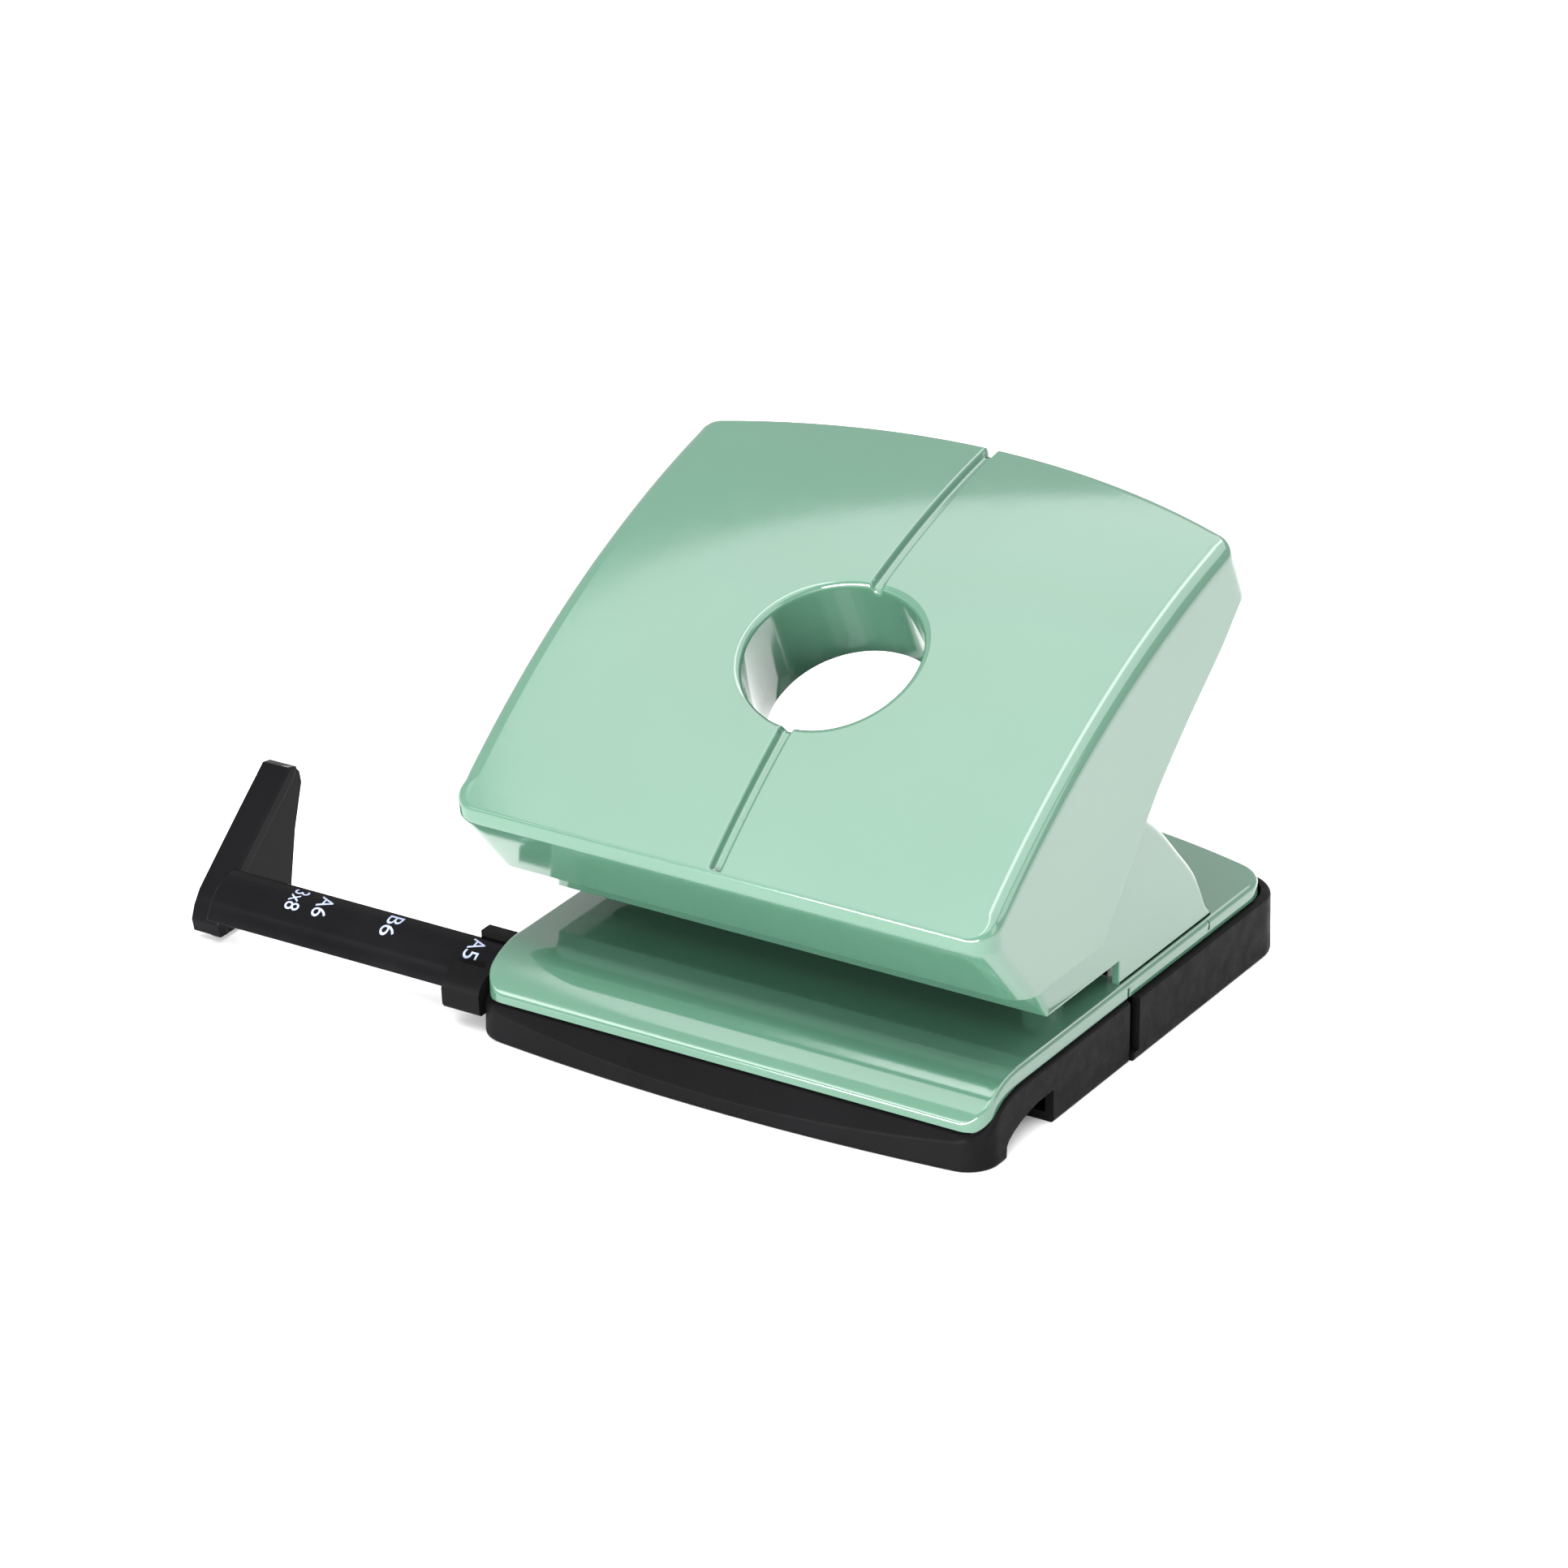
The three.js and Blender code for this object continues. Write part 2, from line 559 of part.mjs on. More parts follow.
function fingerAxis() {
  const centre = new THREE.Vector3(0, FINGER_HOLE_Y, topHeight(FINGER_HOLE_Y));
  const down = new THREE.Vector3(0, TOP_CENTRE_Y, TOP_CENTRE_Z).sub(centre).normalize();
  const at = (distance) => centre.clone().addScaledVector(down, distance).toArray();
  return at;
}

function handleCover() {
  const keep = [
    [-70, 28], [-7.6, 28], [7.2, 45.4], [11.6, 50.4], [31.1, 66.4], [41.4, 75], [60, 80],
    [60, 110], [-70, 110],
  ];
  const at = fingerAxis();
  const groove = [];
  for (let y = -50; y <= 60; y += 5) {
    groove.push([y, topHeight(y, GROOVE_DEPTH)]);
  }
  const shell = leaningBlock(0).intersect(underTop(0)).intersect(across(keep, -60, 60))
    .subtract(leaningBlock(SHELL).intersect(underTop(SHELL)));
  return shell
    .add(rod(TUBE_RADIUS, at(1), at(TUBE_LENGTH), 40))
    .subtract(rod(FINGER_HOLE_RADIUS, at(-6), at(TUBE_LENGTH + 2), 40))
    .subtract(across([...groove, [60, 110], [-50, 110]], -GROOVE_HALF, GROOVE_HALF));
}

const LEVER_THICK = 1.2;
const NOSE_RADIUS = 3.5;
const NOSE_Y = -7.1;
const NOSE_Z = PIN_TOP_Z + 0.25 + NOSE_RADIUS;

function handleLever() {
  const roof = [];
  const ceiling = [];
  for (let y = -28; y <= 24; y += 4) {
    ceiling.push([y, topHeight(y, SHELL + 0.35)]);
    roof.push([y, topHeight(y, SHELL + 0.35 + LEVER_THICK)]);
  }
  const ear = [
    [-27.6, 38], [-26.2, 35.4], [-24, 34.4], [-21.6, 35], [-18, 38.6], [-10.8, 42.6], [NOSE_Y, NOSE_Z],
    [-3.7, 43], [2, 50], [16, 64], [24, topHeight(24, SHELL + 1)],
  ];
  const earTop = ceiling.slice(0, -1).map(([y, z]) => [y, z - 0.6]).reverse();
  const at = fingerAxis();
  let lever = across([...ceiling, ...roof.reverse()], -46.5, 46.5)
    .subtract(rod(TUBE_RADIUS + 0.8, at(-4), at(12), 28));
  for (const side of Object.values(SIDES)) {
    const x = side * HOLE_SPACING / 2;
    lever = lever
      .add(across([...ear, ...earTop], x - 3.9, x - 2.7))
      .add(across([...ear, ...earTop], x + 2.7, x + 3.9))
      .add(rod(NOSE_RADIUS, [x - 3.9, NOSE_Y, NOSE_Z], [x + 3.9, NOSE_Y, NOSE_Z]))
      .subtract(rod(HINGE_RADIUS + RUN_GAP, [x - 9, HINGE_Y, HINGE_Z], [x + 9, HINGE_Y, HINGE_Z]));
  }
  return lever;
}

// ---- assembly ----------------------------------------------------------

function meshOf(name, body, finish) {
  const { vertProperties, triVerts } = body.getMesh();
  const geometry = new THREE.BufferGeometry();
  geometry.setAttribute('position', new THREE.Float32BufferAttribute(vertProperties, 3));
  geometry.setIndex(Array.from(triVerts));
  geometry.computeVertexNormals();
  const [color, roughness, metalness] = COLOURS[finish];
  const mesh = new THREE.Mesh(geometry, new THREE.MeshStandardMaterial({ color, roughness, metalness }));
  mesh.name = name;
  return mesh;
}

const punch = new THREE.Group();
punch.name = 'hole_punch';
punch.add(
  meshOf('base_plate', basePlate(), 'mint'),
  meshOf('base_tray', baseTray(), 'black'),
  meshOf('chip_tray', chipTray(), 'black'),
  meshOf('format_rail', formatRail(), 'rail'),
  meshOf('rail_spring', railSpring(), 'spring'),
  meshOf('punch_cover', punchCover(), 'mint'),
  meshOf('handle_cover', handleCover(), 'mint'),
  meshOf('handle_lever', handleLever(), 'steel'),
  meshOf('steel_base', steelBase(), 'steel'),
);
for (const [word, side] of Object.entries(SIDES)) {
  punch.add(
    meshOf(`frame_${word}`, frame(side), 'steel'),
    meshOf(`rivet_${word}_front`, rivet(side, RIVET_YS[0]), 'steel'),
    meshOf(`rivet_${word}_rear`, rivet(side, RIVET_YS[1]), 'steel'),
    meshOf(`die_${word}`, die(side), 'tool'),
    meshOf(`punch_pin_${word}`, punchPin(side), 'tool'),
    meshOf(`retainer_${word}`, retainer(side), 'spring'),
    meshOf(`return_spring_${word}`, returnSpring(side), 'spring'),
    meshOf(`hinge_pin_${word}`, hingePin(side), 'steel'),
    meshOf(`hinge_clip_${word}`, hingeClip(side), 'spring'),
    meshOf(`cover_screw_${word}`, coverScrew(side), 'steel'),
  );
}

export default punch;
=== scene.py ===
"""Looks of the desk punch: mint covers, black trays and paper stop, steel inside."""
import json
import math

import bmesh
import bpy
import numpy as np
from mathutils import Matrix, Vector


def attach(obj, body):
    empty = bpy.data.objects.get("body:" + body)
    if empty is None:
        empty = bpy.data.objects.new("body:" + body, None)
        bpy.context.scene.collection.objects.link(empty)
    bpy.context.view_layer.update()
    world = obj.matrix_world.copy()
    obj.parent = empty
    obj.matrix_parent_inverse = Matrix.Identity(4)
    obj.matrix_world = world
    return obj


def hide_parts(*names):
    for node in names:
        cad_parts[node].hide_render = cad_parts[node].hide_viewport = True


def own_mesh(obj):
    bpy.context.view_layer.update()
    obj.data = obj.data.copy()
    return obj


MM = 0.001

# Handle
HANDLE_HALF = 51.5
TOP_RADIUS = 183.0
TOP_CENTRE_Y = 76.2
TOP_CENTRE_Z = -93.5
SHELL = 2.0
HANDLE_CORNER = 4.5
HANDLE_BOW = 11.1
SIDE_FILLET = 3.0
FRONT_FILLET = 1.1
REAR_FILLET = 1.6
CREASE_Z = 41.0
FINGER_Y = -8.3
FINGER_RADIUS = 15.5
FINGER_FILLET = 1.4
TUBE_RADIUS = 17.3
TUBE_LENGTH = 18.0
GROOVE_HALF = 1.4
GROOVE_FLOOR = 0.5
GROOVE_DEPTH = 1.2
GROOVE_RUNOUT = 0.4         # the groove rises to the surface over this length at the front edge
SKIRT_FRONT_Y = -45.3
SKIRT_LEAN = 0.12           # of the upright band of the front skirt
SKIRT_SLANT = 0.797         # of the part under the crease
REAR_EDGE_Y = 50.4
REAR_EDGE_Z = 75.0
REAR_BEND_Z = 73.0          # the rear face leans less below this height
REAR_LEAN = 0.496
REAR_LEAN_LOW = 0.16
HEEL_Y = -7.6               # where the skirt's lower edge starts to rise
HEEL_Z = 28.0

# Base
DECK_Z = 14.4
DECK_THICK = 1.4
DECK_FILLET = 0.9
BASE_HALF = 48.6
BASE_CORNER = 4.5
BASE_REAR_CORNER = 8.0
LIP_Y = -41.2
ROLL_START = -30.0
ROLL_RADIUS = 13.2
BASE_REAR = 56.1
BASE_BOW = 8.1
TRAY_HALF = 49.3
TRAY_TOP = 11.3
TRAY_WALL = 1.6
TRAY_FRONT = -41.9
TRAY_FRONT_BOW = 3.1
TRAY_CORNER = 6.0
TRAY_INNER_FRONT = -39.9
TRAY_INNER_CORNER = 4.6
TRAY_SIDE_END = 6.9
TRAY_END_Y = 6.6            # the front tray's walls stop here
RIB_XS = (-44, -20, 4)
CHIP_HALF = 49.8
CHIP_REAR = 59.2
CHIP_BOW = 8.4
FLAP_Y = 7.05
FLAP_GAP = 0.15             # each side of the hinge line
FLAP_WALL_Y = 8.9
RAIL_GAP = 0.35             # round the paper stop's bar

COVER_HALF = 47.6
COVER_FOOT_Z = 14.2         # a little under the deck's surface, so that no gap shows
SLOT_Z = 18.65
DEPTH_STOP_Y = 5.5
SADDLE_HALF = 31
SADDLE_Z = 38
STOP_HALF = 30              # the depth stop behind the paper slot reaches this far out
LEVER_SLOT_HALF = 4.4
POCKET_OUTER = 6.2          # room round a frame, away from the middle
POCKET_INNER = 7.6          # and towards it
POCKET_REAR = 17.6
PIN_ROOM_RADIUS = 3.6

PIN_Y = -6.5
HOLE_X = 40.0
DECK_HOLE_RADIUS = 3.1
FRAME_HOLE_HALF = 6.3
SCREW_X = 24.0
SCREW_Y = 28.0
SCREW_HOLE_RADIUS = 1.75


# ---- mesh tools --------------------------------------------------------

def add_piece(name, points, faces, material, body, nodes=()):
    """A new object from points in millimetres, which rides on a CAD body."""
    mesh = bpy.data.meshes.new(name)
    mesh.from_pydata([[c * MM for c in p] for p in np.asarray(points, float).tolist()], [], faces)
    return add_mesh(name, mesh, material, body, nodes)


def add_mesh(name, mesh, material, body, nodes):
    """A new smooth object from a mesh, with its material, body and replaced CAD nodes."""
    bm = bmesh.new()
    bm.from_mesh(mesh)
    bmesh.ops.remove_doubles(bm, verts=bm.verts, dist=2e-7)
    bmesh.ops.recalc_face_normals(bm, faces=bm.faces)
    for face in bm.faces:
        face.smooth = True
    bm.to_mesh(mesh)
    bm.free()
    piece = bpy.data.objects.new(name, mesh)
    bpy.context.collection.objects.link(piece)
    if material is not None:
        mesh.materials.clear()
        mesh.materials.append(material)
    if body:
        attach(piece, body)
    if nodes:
        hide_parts(*nodes)
    return piece


def loft(rings, closed=False, caps=False):
    """Joins rings of equally many points with faces."""
    count = len(rings[0])
    points = np.concatenate([np.asarray(r, float) for r in rings])
    faces = []
    steps = len(rings) if closed else len(rings) - 1
    for j in range(steps):
        low = j * count
        high = ((j + 1) % len(rings)) * count
        for i in range(count):
            k = (i + 1) % count
            faces.append((low + i, low + k, high + k, high + i))
    if caps:
        faces.append(tuple(range(count)))
        last = (len(rings) - 1) * count
        faces.append(tuple(range(last + count - 1, last - 1, -1)))
    return points, faces


def combine(piece, other, operation):
    """Adds or cuts away another object, which is then removed."""
    modifier = piece.modifiers.new("cut", "BOOLEAN")
    modifier.operation = operation
    modifier.solver = "EXACT"
    modifier.object = other
    bpy.context.view_layer.update()
    graph = bpy.context.evaluated_depsgraph_get()
    mesh = bpy.data.meshes.new_from_object(piece.evaluated_get(graph))
    piece.modifiers.clear()
    old = piece.data
    piece.data = mesh
    bpy.data.meshes.remove(old)
    bpy.data.objects.remove(other)
    for polygon in mesh.polygons:
        polygon.use_smooth = True
    return piece


def soften(piece, width, angle, segments=2):
    """Rounds the sharp edges and keeps flat faces flat."""
    bevel = piece.modifiers.new("edges", "BEVEL")
    bevel.width = width * MM
    bevel.segments = segments
    bevel.limit_method = "ANGLE"
    bevel.angle_limit = math.radians(angle)
    bevel.harden_normals = False
    bevel.miter_outer = "MITER_ARC"
    normals = piece.modifiers.new("normals", "WEIGHTED_NORMAL")
    normals.keep_sharp = True
    normals.weight = 80
    return piece


def block(x0, x1, y0, y1, z0, z1):
    """A box, as a helper for cutting or joining."""
    return prism([(y0, z0), (y1, z0), (y1, z1), (y0, z1)], x0, x1)


def prism(outline, x0, x1):
    """A side outline (y, z) drawn out along X, as a helper for cutting or joining."""
    rings = [[(x, y, z) for y, z in outline] for x in (x0, x1)]
    points, faces = loft(rings, caps=True)
    return add_piece("helper", points, faces, None, None)


def rod(x, y, z0, z1, radius, count=48):
    """An upright cylinder, as a helper for cutting."""
    angles = np.linspace(0, 2 * math.pi, count, endpoint=False)
    rings = [[(x + radius * math.cos(a), y + radius * math.sin(a), z) for a in angles] for z in (z0, z1)]
    points, faces = loft(rings, caps=True)
    return add_piece("helper", points, faces, None, None)


def spline(points, per_span=8):
    """A smooth line through the points (Catmull-Rom)."""
    p = np.asarray(points, float)
    p = np.vstack([2 * p[0] - p[1], p, 2 * p[-1] - p[-2]])
    line = []
    for i in range(1, len(p) - 2):
        for t in np.arange(per_span) / per_span:
            line.append(0.5 * (2 * p[i] + (p[i + 1] - p[i - 1]) * t
                               + (2 * p[i - 1] - 5 * p[i] + 4 * p[i + 1] - p[i + 2]) * t ** 2
                               + (3 * p[i] - p[i - 1] - 3 * p[i + 1] + p[i + 2]) * t ** 3))
    line.append(p[-2])
    return np.array(line)


def unit(v):
    return v / np.linalg.norm(v, axis=-1, keepdims=True)


def corner_arc(corner, before, after, radius, steps):
    """Round between two directions, one ring per step: before leads to the corner, after away."""
    cosine = np.clip(np.sum(before * after, axis=1), -1, 1)
    turn = np.arccos(cosine)
    reach = (radius * np.tan(turn / 2))[:, None]
    start = corner - before * reach
    end = corner + after * reach
    weight = np.cos(turn / 2)[:, None]
    rings = []
    for t in np.linspace(0, 1, steps + 1):
        share = (1 - t) ** 2 + 2 * weight * t * (1 - t) + t ** 2
        rings.append(((1 - t) ** 2 * start + 2 * weight * t * (1 - t) * corner + t ** 2 * end) / share)
    return rings


# ---- outlines seen from above -------------------------------------------

FRONT, FRONT_CORNER, SIDE, REAR_CORNER, REAR = range(5)


class Plan:
    """Sample places round a plan outline: straight sides, bowed front and rear, round corners."""

    def __init__(self, front, front_corner, side, rear_corner, rear):
        half = [(FRONT, t) for t in front]
        half += [(FRONT_CORNER, t) for t in front_corner]
        half += [(SIDE, t) for t in side]
        half += [(REAR_CORNER, t) for t in rear_corner]
        half += [(REAR, t) for t in rear]
        mirrored = half[-2:0:-1]
        self.kind = np.array([k for k, _ in half + mirrored])
        self.t = np.array([t for _, t in half + mirrored])
        self.sign = np.array([1.0] * len(half) + [-1.0] * len(mirrored))

    def at(self, half, front, front_bow, front_r, rear, rear_bow, rear_r):
        """Plan points (x, y) and outward directions, for numbers that may differ per sample."""
        t = self.t
        turn_f, edge_f = self.tangent(half, front_bow, front_r)
        turn_r, edge_r = self.tangent(half, rear_bow, rear_r)
        centre_f = front - front_bow * (1 - (edge_f / half) ** 2) + front_r * np.sin(turn_f)
        centre_r = rear + rear_bow * (1 - (edge_r / half) ** 2) - rear_r * np.sin(turn_r)
        x_f, x_r = t * edge_f, t * edge_r
        a_f, a_r = turn_f * (1 - t), turn_r * t
        choices_x = [x_f, half - front_r + front_r * np.cos(a_f), half + 0 * t,
                     half - rear_r + rear_r * np.cos(a_r), x_r]
        choices_y = [front - front_bow * (1 - (x_f / half) ** 2), centre_f - front_r * np.sin(a_f),
                     centre_f + t * (centre_r - centre_f), centre_r + rear_r * np.sin(a_r),
                     rear + rear_bow * (1 - (x_r / half) ** 2)]
        normal_x = [2 * front_bow * x_f / half ** 2, np.cos(a_f), 1 + 0 * t, np.cos(a_r),
                    2 * rear_bow * x_r / half ** 2]
        normal_y = [-1 + 0 * t, -np.sin(a_f), 0 * t, np.sin(a_r), 1 + 0 * t]
        x = np.choose(self.kind, np.broadcast_arrays(*choices_x)) * self.sign
        y = np.choose(self.kind, np.broadcast_arrays(*choices_y))
        nx = np.choose(self.kind, np.broadcast_arrays(*normal_x)) * self.sign
        ny = np.choose(self.kind, np.broadcast_arrays(*normal_y))
        return x, y, unit(np.stack([nx, ny], 1))

    @staticmethod
    def tangent(half, bow, radius):
        """How far the corner turns, and where along the edge it ends."""
        edge = half - radius
        for _ in range(4):
            turn = math.pi / 2 - np.arctan(2 * bow * edge / half ** 2)
            edge = half - radius + radius * np.cos(turn)
        return turn, edge


def spread(n, start=0.0, end=1.0):
    return np.linspace(start, end, n, endpoint=False)


# ---- handle --------------------------------------------------------------

GROOVE_SAMPLES = np.arange(0, 3.01, 0.12)


def handle_plan():
    edge = HANDLE_HALF - HANDLE_CORNER
    front = np.concatenate([GROOVE_SAMPLES, np.arange(4, edge - 0.5, 1.4)]) / edge
    _, rear_edge = Plan.tangent(HANDLE_HALF, HANDLE_BOW, HANDLE_CORNER)
    rear = np.concatenate([GROOVE_SAMPLES, np.arange(4, rear_edge - 0.5, 1.4)]) / rear_edge
    side = np.unique(np.concatenate([spread(56), [handle_kink()]]))
    return Plan(front, spread(14), side, spread(12), [1.0, *rear[::-1]])


def handle_front(z):
    """The front skirt: a narrow upright band, a crease, then slanting back under the handle."""
    slant = 0.25 * np.logaddexp(0, (CREASE_Z - z) / 0.25)
    return SKIRT_FRONT_Y + SKIRT_LEAN * np.maximum(45 - z, 0) + SKIRT_SLANT * slant


def handle_rear(z):
    """The rear face, which leans in towards the top."""
    upper = REAR_LEAN * (np.maximum(z, REAR_BEND_Z) - REAR_EDGE_Z)
    lower = REAR_LEAN_LOW * (np.minimum(z, REAR_BEND_Z) - REAR_BEND_Z)
    return REAR_EDGE_Y - HANDLE_BOW - upper - lower


def handle_underside(y):
    """Height of the skirt's lower edge."""
    rise = [(HEEL_Y, HEEL_Z), (7.2, 45.4), (11.6, 50.2), (20.5, 58.0), (31.1, 66.4), (41.4, 75), (60, 80)]
    line = spline(rise, 6)
    return np.interp(y, np.concatenate([[-90], line[:, 0]]), np.concatenate([[HEEL_Z], line[:, 1]]))


def handle_kink():
    """Share of the side at which its lower edge starts to rise."""
    turn, edge = Plan.tangent(HANDLE_HALF, HANDLE_BOW, HANDLE_CORNER)
    z = np.array(HEEL_Z)
    first = handle_front(z) + HANDLE_CORNER
    last = handle_rear(z) + HANDLE_BOW * (1 - (edge / HANDLE_HALF) ** 2) - HANDLE_CORNER * np.sin(turn)
    return float((HEEL_Y - first) / (last - first))


def top_z(y, drop=0.0):
    """Height of the handle's cylindrical top, or of a surface that lies lower by drop."""
    return TOP_CENTRE_Z + np.sqrt((TOP_RADIUS - drop) ** 2 - (y - TOP_CENTRE_Y) ** 2)


def top_normal(points):
    across = np.stack([0 * points[:, 1], points[:, 1] - TOP_CENTRE_Y, points[:, 2] - TOP_CENTRE_Z], 1)
    return unit(across)


def handle_ring(plan, z, inset):
    """The handle's plan outline at the heights z, moved inwards by inset."""
    z = z + 0 * plan.t
    x, y, out = plan.at(
        HANDLE_HALF - inset, handle_front(z) + inset, 0.0, HANDLE_CORNER - inset / 2,
        handle_rear(z) - inset, HANDLE_BOW, HANDLE_CORNER - inset / 2)
    return np.stack([x, y, z], 1), out


def settle(plan, inset, height):
    """The ring whose points lie at the height that the function gives for their y."""
    z = np.full(len(plan.t), 50.0)
    for _ in range(80):
        ring, _ = handle_ring(plan, z, inset)
        z = (z + height(ring[:, 1])) / 2
    return handle_ring(plan, z, inset)


def groove_depth(x):
    """The finger groove down the middle of the handle, with soft shoulders."""
    share = np.clip((GROOVE_HALF - np.abs(x)) / (GROOVE_HALF - GROOVE_FLOOR), 0, 1)
    return GROOVE_DEPTH * share * share * (3 - 2 * share)


def on_top(x, arc, drop=0.0):
    """A point of the handle's top, from x and the distance along the curve from the finger hole."""
    start = math.asin((FINGER_Y - TOP_CENTRE_Y) / TOP_RADIUS)
    angle = start + arc / TOP_RADIUS
    radius = TOP_RADIUS - drop
    return np.stack([x, TOP_CENTRE_Y + radius * np.sin(angle), TOP_CENTRE_Z + radius * np.cos(angle)], 1)


def along_top(y):
    """Distance along the top's curve from the finger hole to y."""
    start = math.asin((FINGER_Y - TOP_CENTRE_Y) / TOP_RADIUS)
    return TOP_RADIUS * (np.arcsin((y - TOP_CENTRE_Y) / TOP_RADIUS) - start)


def hole_angles(x, arc, radius):
    """Angle round the finger hole for each outline sample; near the groove it keeps the sample's x."""
    angle = np.arctan2(np.abs(x), -arc)
    near = np.abs(x) <= GROOVE_SAMPLES[-1] + 1e-6
    front = arc < 0
    close = np.arcsin(np.clip(np.abs(x) / radius, 0, 1))
    low_out = np.max(angle[near & front])
    high_out = np.min(angle[near & ~front])
    low_in = np.max(close[near])
    share = (angle - low_out) / (high_out - low_out)
    spreading = low_in + share * (math.pi - 2 * low_in)
    angle = np.where(near, np.where(front, close, math.pi - close), spreading)
    return angle * np.where(x < 0, -1, 1)


def handle_piece(material):
    plan = handle_plan()
    corner, out = settle(plan, 0.0, top_z)
    slope = -(corner[:, 1] - TOP_CENTRE_Y) / (corner[:, 2] - TOP_CENTRE_Z) * out[:, 1]
    outward = unit(np.stack([out[:, 0], out[:, 1], slope], 1))
    lower, _ = handle_ring(plan, corner[:, 2] - 0.5, 0.0)
    downward = unit(lower - corner)
    level = np.stack([out[:, 0], out[:, 1], 0 * slope], 1)
    skirt_normal = unit(level - downward * np.sum(level * downward, 1)[:, None])
    side_share = out[:, 0] ** 2
    end_fillet = np.where(out[:, 1] < 0, FRONT_FILLET, REAR_FILLET)
    fillet = end_fillet + (SIDE_FILLET - end_fillet) * side_share

    groove = (groove_depth(corner[:, 0]) * (out[:, 1] > 0))[:, None]
    normal = top_normal(corner)
    both = (normal + skirt_normal) / (1 + np.sum(normal * skirt_normal, 1))[:, None]
    edge = corner_arc(corner - both * groove, outward, downward, fillet, 9)
    start = corner_arc(corner, outward, downward, fillet, 2)[0]
    arc_out = along_top(start[:, 1])
    x_out = start[:, 0]

    rim_radius = FINGER_RADIUS + FINGER_FILLET
    angle = hole_angles(x_out, arc_out, rim_radius)
    sine, cosine = np.sin(angle), np.cos(angle)

    def circle(radius, drop=0.0):
        return on_top(radius * sine, -radius * cosine, drop)

    hole_centre = on_top(np.array([0.0]), np.array([0.0]))[0]
    axis = unit(np.array([0, TOP_CENTRE_Y - hole_centre[1], TOP_CENTRE_Z - hole_centre[2]]))
    uphill = np.cross(axis, [1, 0, 0])
    if uphill[1] < 0:
        uphill = -uphill

    def tube(radius, depth):
        around = hole_centre + np.outer(radius * sine, [1, 0, 0]) - np.outer(radius * cosine, uphill)
        return around + axis * np.asarray(depth).reshape(-1, 1)

    # Finger hole rim
    rim_corner = circle(FINGER_RADIUS)
    rim_groove = groove_depth(rim_corner[:, 0])[:, None]
    rim_corner = rim_corner - top_normal(rim_corner) * rim_groove
    into = unit(rim_corner - (circle(rim_radius) - top_normal(circle(rim_radius)) * rim_groove))
    rim = corner_arc(rim_corner, into, np.tile(axis, (len(sine), 1)), np.full(len(sine), FINGER_FILLET), 8)
    rim_depth = (rim[-1] - hole_centre) @ axis

    # Top surface, from the hole outwards
    top = []
    shares = np.concatenate([[0.008], np.linspace(0.03, 0.97, 36), [0.992]])
    for share in shares:
        x = rim_radius * sine * (1 - share) + x_out * share
        arc = -rim_radius * cosine * (1 - share) + arc_out * share
        ring = on_top(x, arc)
        reach = np.clip((arc - arc_out) / GROOVE_RUNOUT, 0, 1)
        fade = np.where(arc_out < 0, reach * reach * (3 - 2 * reach), 1.0)
        ring = ring - top_normal(ring) * (groove_depth(x) * fade)[:, None]
        top.append(ring)

    # Skirt, from the top edge down
    low, _ = settle(plan, 0.0, handle_underside)
    low_z = low[:, 2]
    high_z = edge[-1][:, 2]
    crease = np.maximum(CREASE_Z, (low_z + high_z) / 2)
    skirt = []
    levels = [high_z - 0.15]
    levels += [high_z + (crease + 0.8 - high_z) * s for s in (0.4, 0.8)]
    levels += [crease + d for d in (0.8, 0.45, 0.2, 0.0, -0.2, -0.45, -0.8)]
    levels += [crease - 0.8 + (low_z + 0.9 - crease + 0.8) * s for s in (0.25, 0.5, 0.75)]
    levels += [low_z + 0.6]
    for z in levels:
        ring, _ = handle_ring(plan, z, 0.0)
        fade = np.clip((z - (high_z - 2.2)) / 1.4, 0, 1)
        fade = (fade * fade * (3 - 2 * fade))[:, None]
        skirt.append(ring - skirt_normal * groove * fade)
    # Close pairs of rings keep the lower edge crisp
    lower_edge = [(0.1, 0.0), (0.03, 0.0), (0.0, 0.03), (0.0, 0.1),
                  (0.0, 1.9), (0.0, 1.97), (0.03, 2.0), (0.1, 2.0)]
    for rise, inset in lower_edge:
        skirt.append(handle_ring(plan, low_z + rise, inset)[0])

    # Inside
    ceiling, _ = settle(plan, SHELL, lambda y: top_z(y, SHELL))
    inside = []
    for share in (0.3, 0.6, 0.9):
        height = low_z + 0.35 + (ceiling[:, 2] - low_z - 0.35) * share
        inside.append(handle_ring(plan, height, SHELL)[0])
    inside.append(ceiling)
    arc_in = along_top(TOP_CENTRE_Y + (ceiling[:, 1] - TOP_CENTRE_Y) * TOP_RADIUS / (TOP_RADIUS - SHELL))
    for share in np.linspace(0.97, 0, 24):
        x = TUBE_RADIUS * sine * (1 - share) + ceiling[:, 0] * share
        arc = -TUBE_RADIUS * cosine * (1 - share) + arc_in * share
        inside.append(on_top(x, arc, SHELL))
    inside.append(tube(TUBE_RADIUS, TUBE_LENGTH - 0.5))
    inside.append(tube(TUBE_RADIUS - 0.12, TUBE_LENGTH - 0.12))
    inside.append(tube(TUBE_RADIUS - 0.5, TUBE_LENGTH))
    inside.append(tube(FINGER_RADIUS + 0.5, TUBE_LENGTH))
    inside.append(tube(FINGER_RADIUS + 0.12, TUBE_LENGTH - 0.12))
    inside.append(tube(FINGER_RADIUS, TUBE_LENGTH - 0.5))
    for share in (0.8, 0.55, 0.3, 0.1):
        inside.append(tube(FINGER_RADIUS, rim_depth + (TUBE_LENGTH - 0.5 - rim_depth) * share))

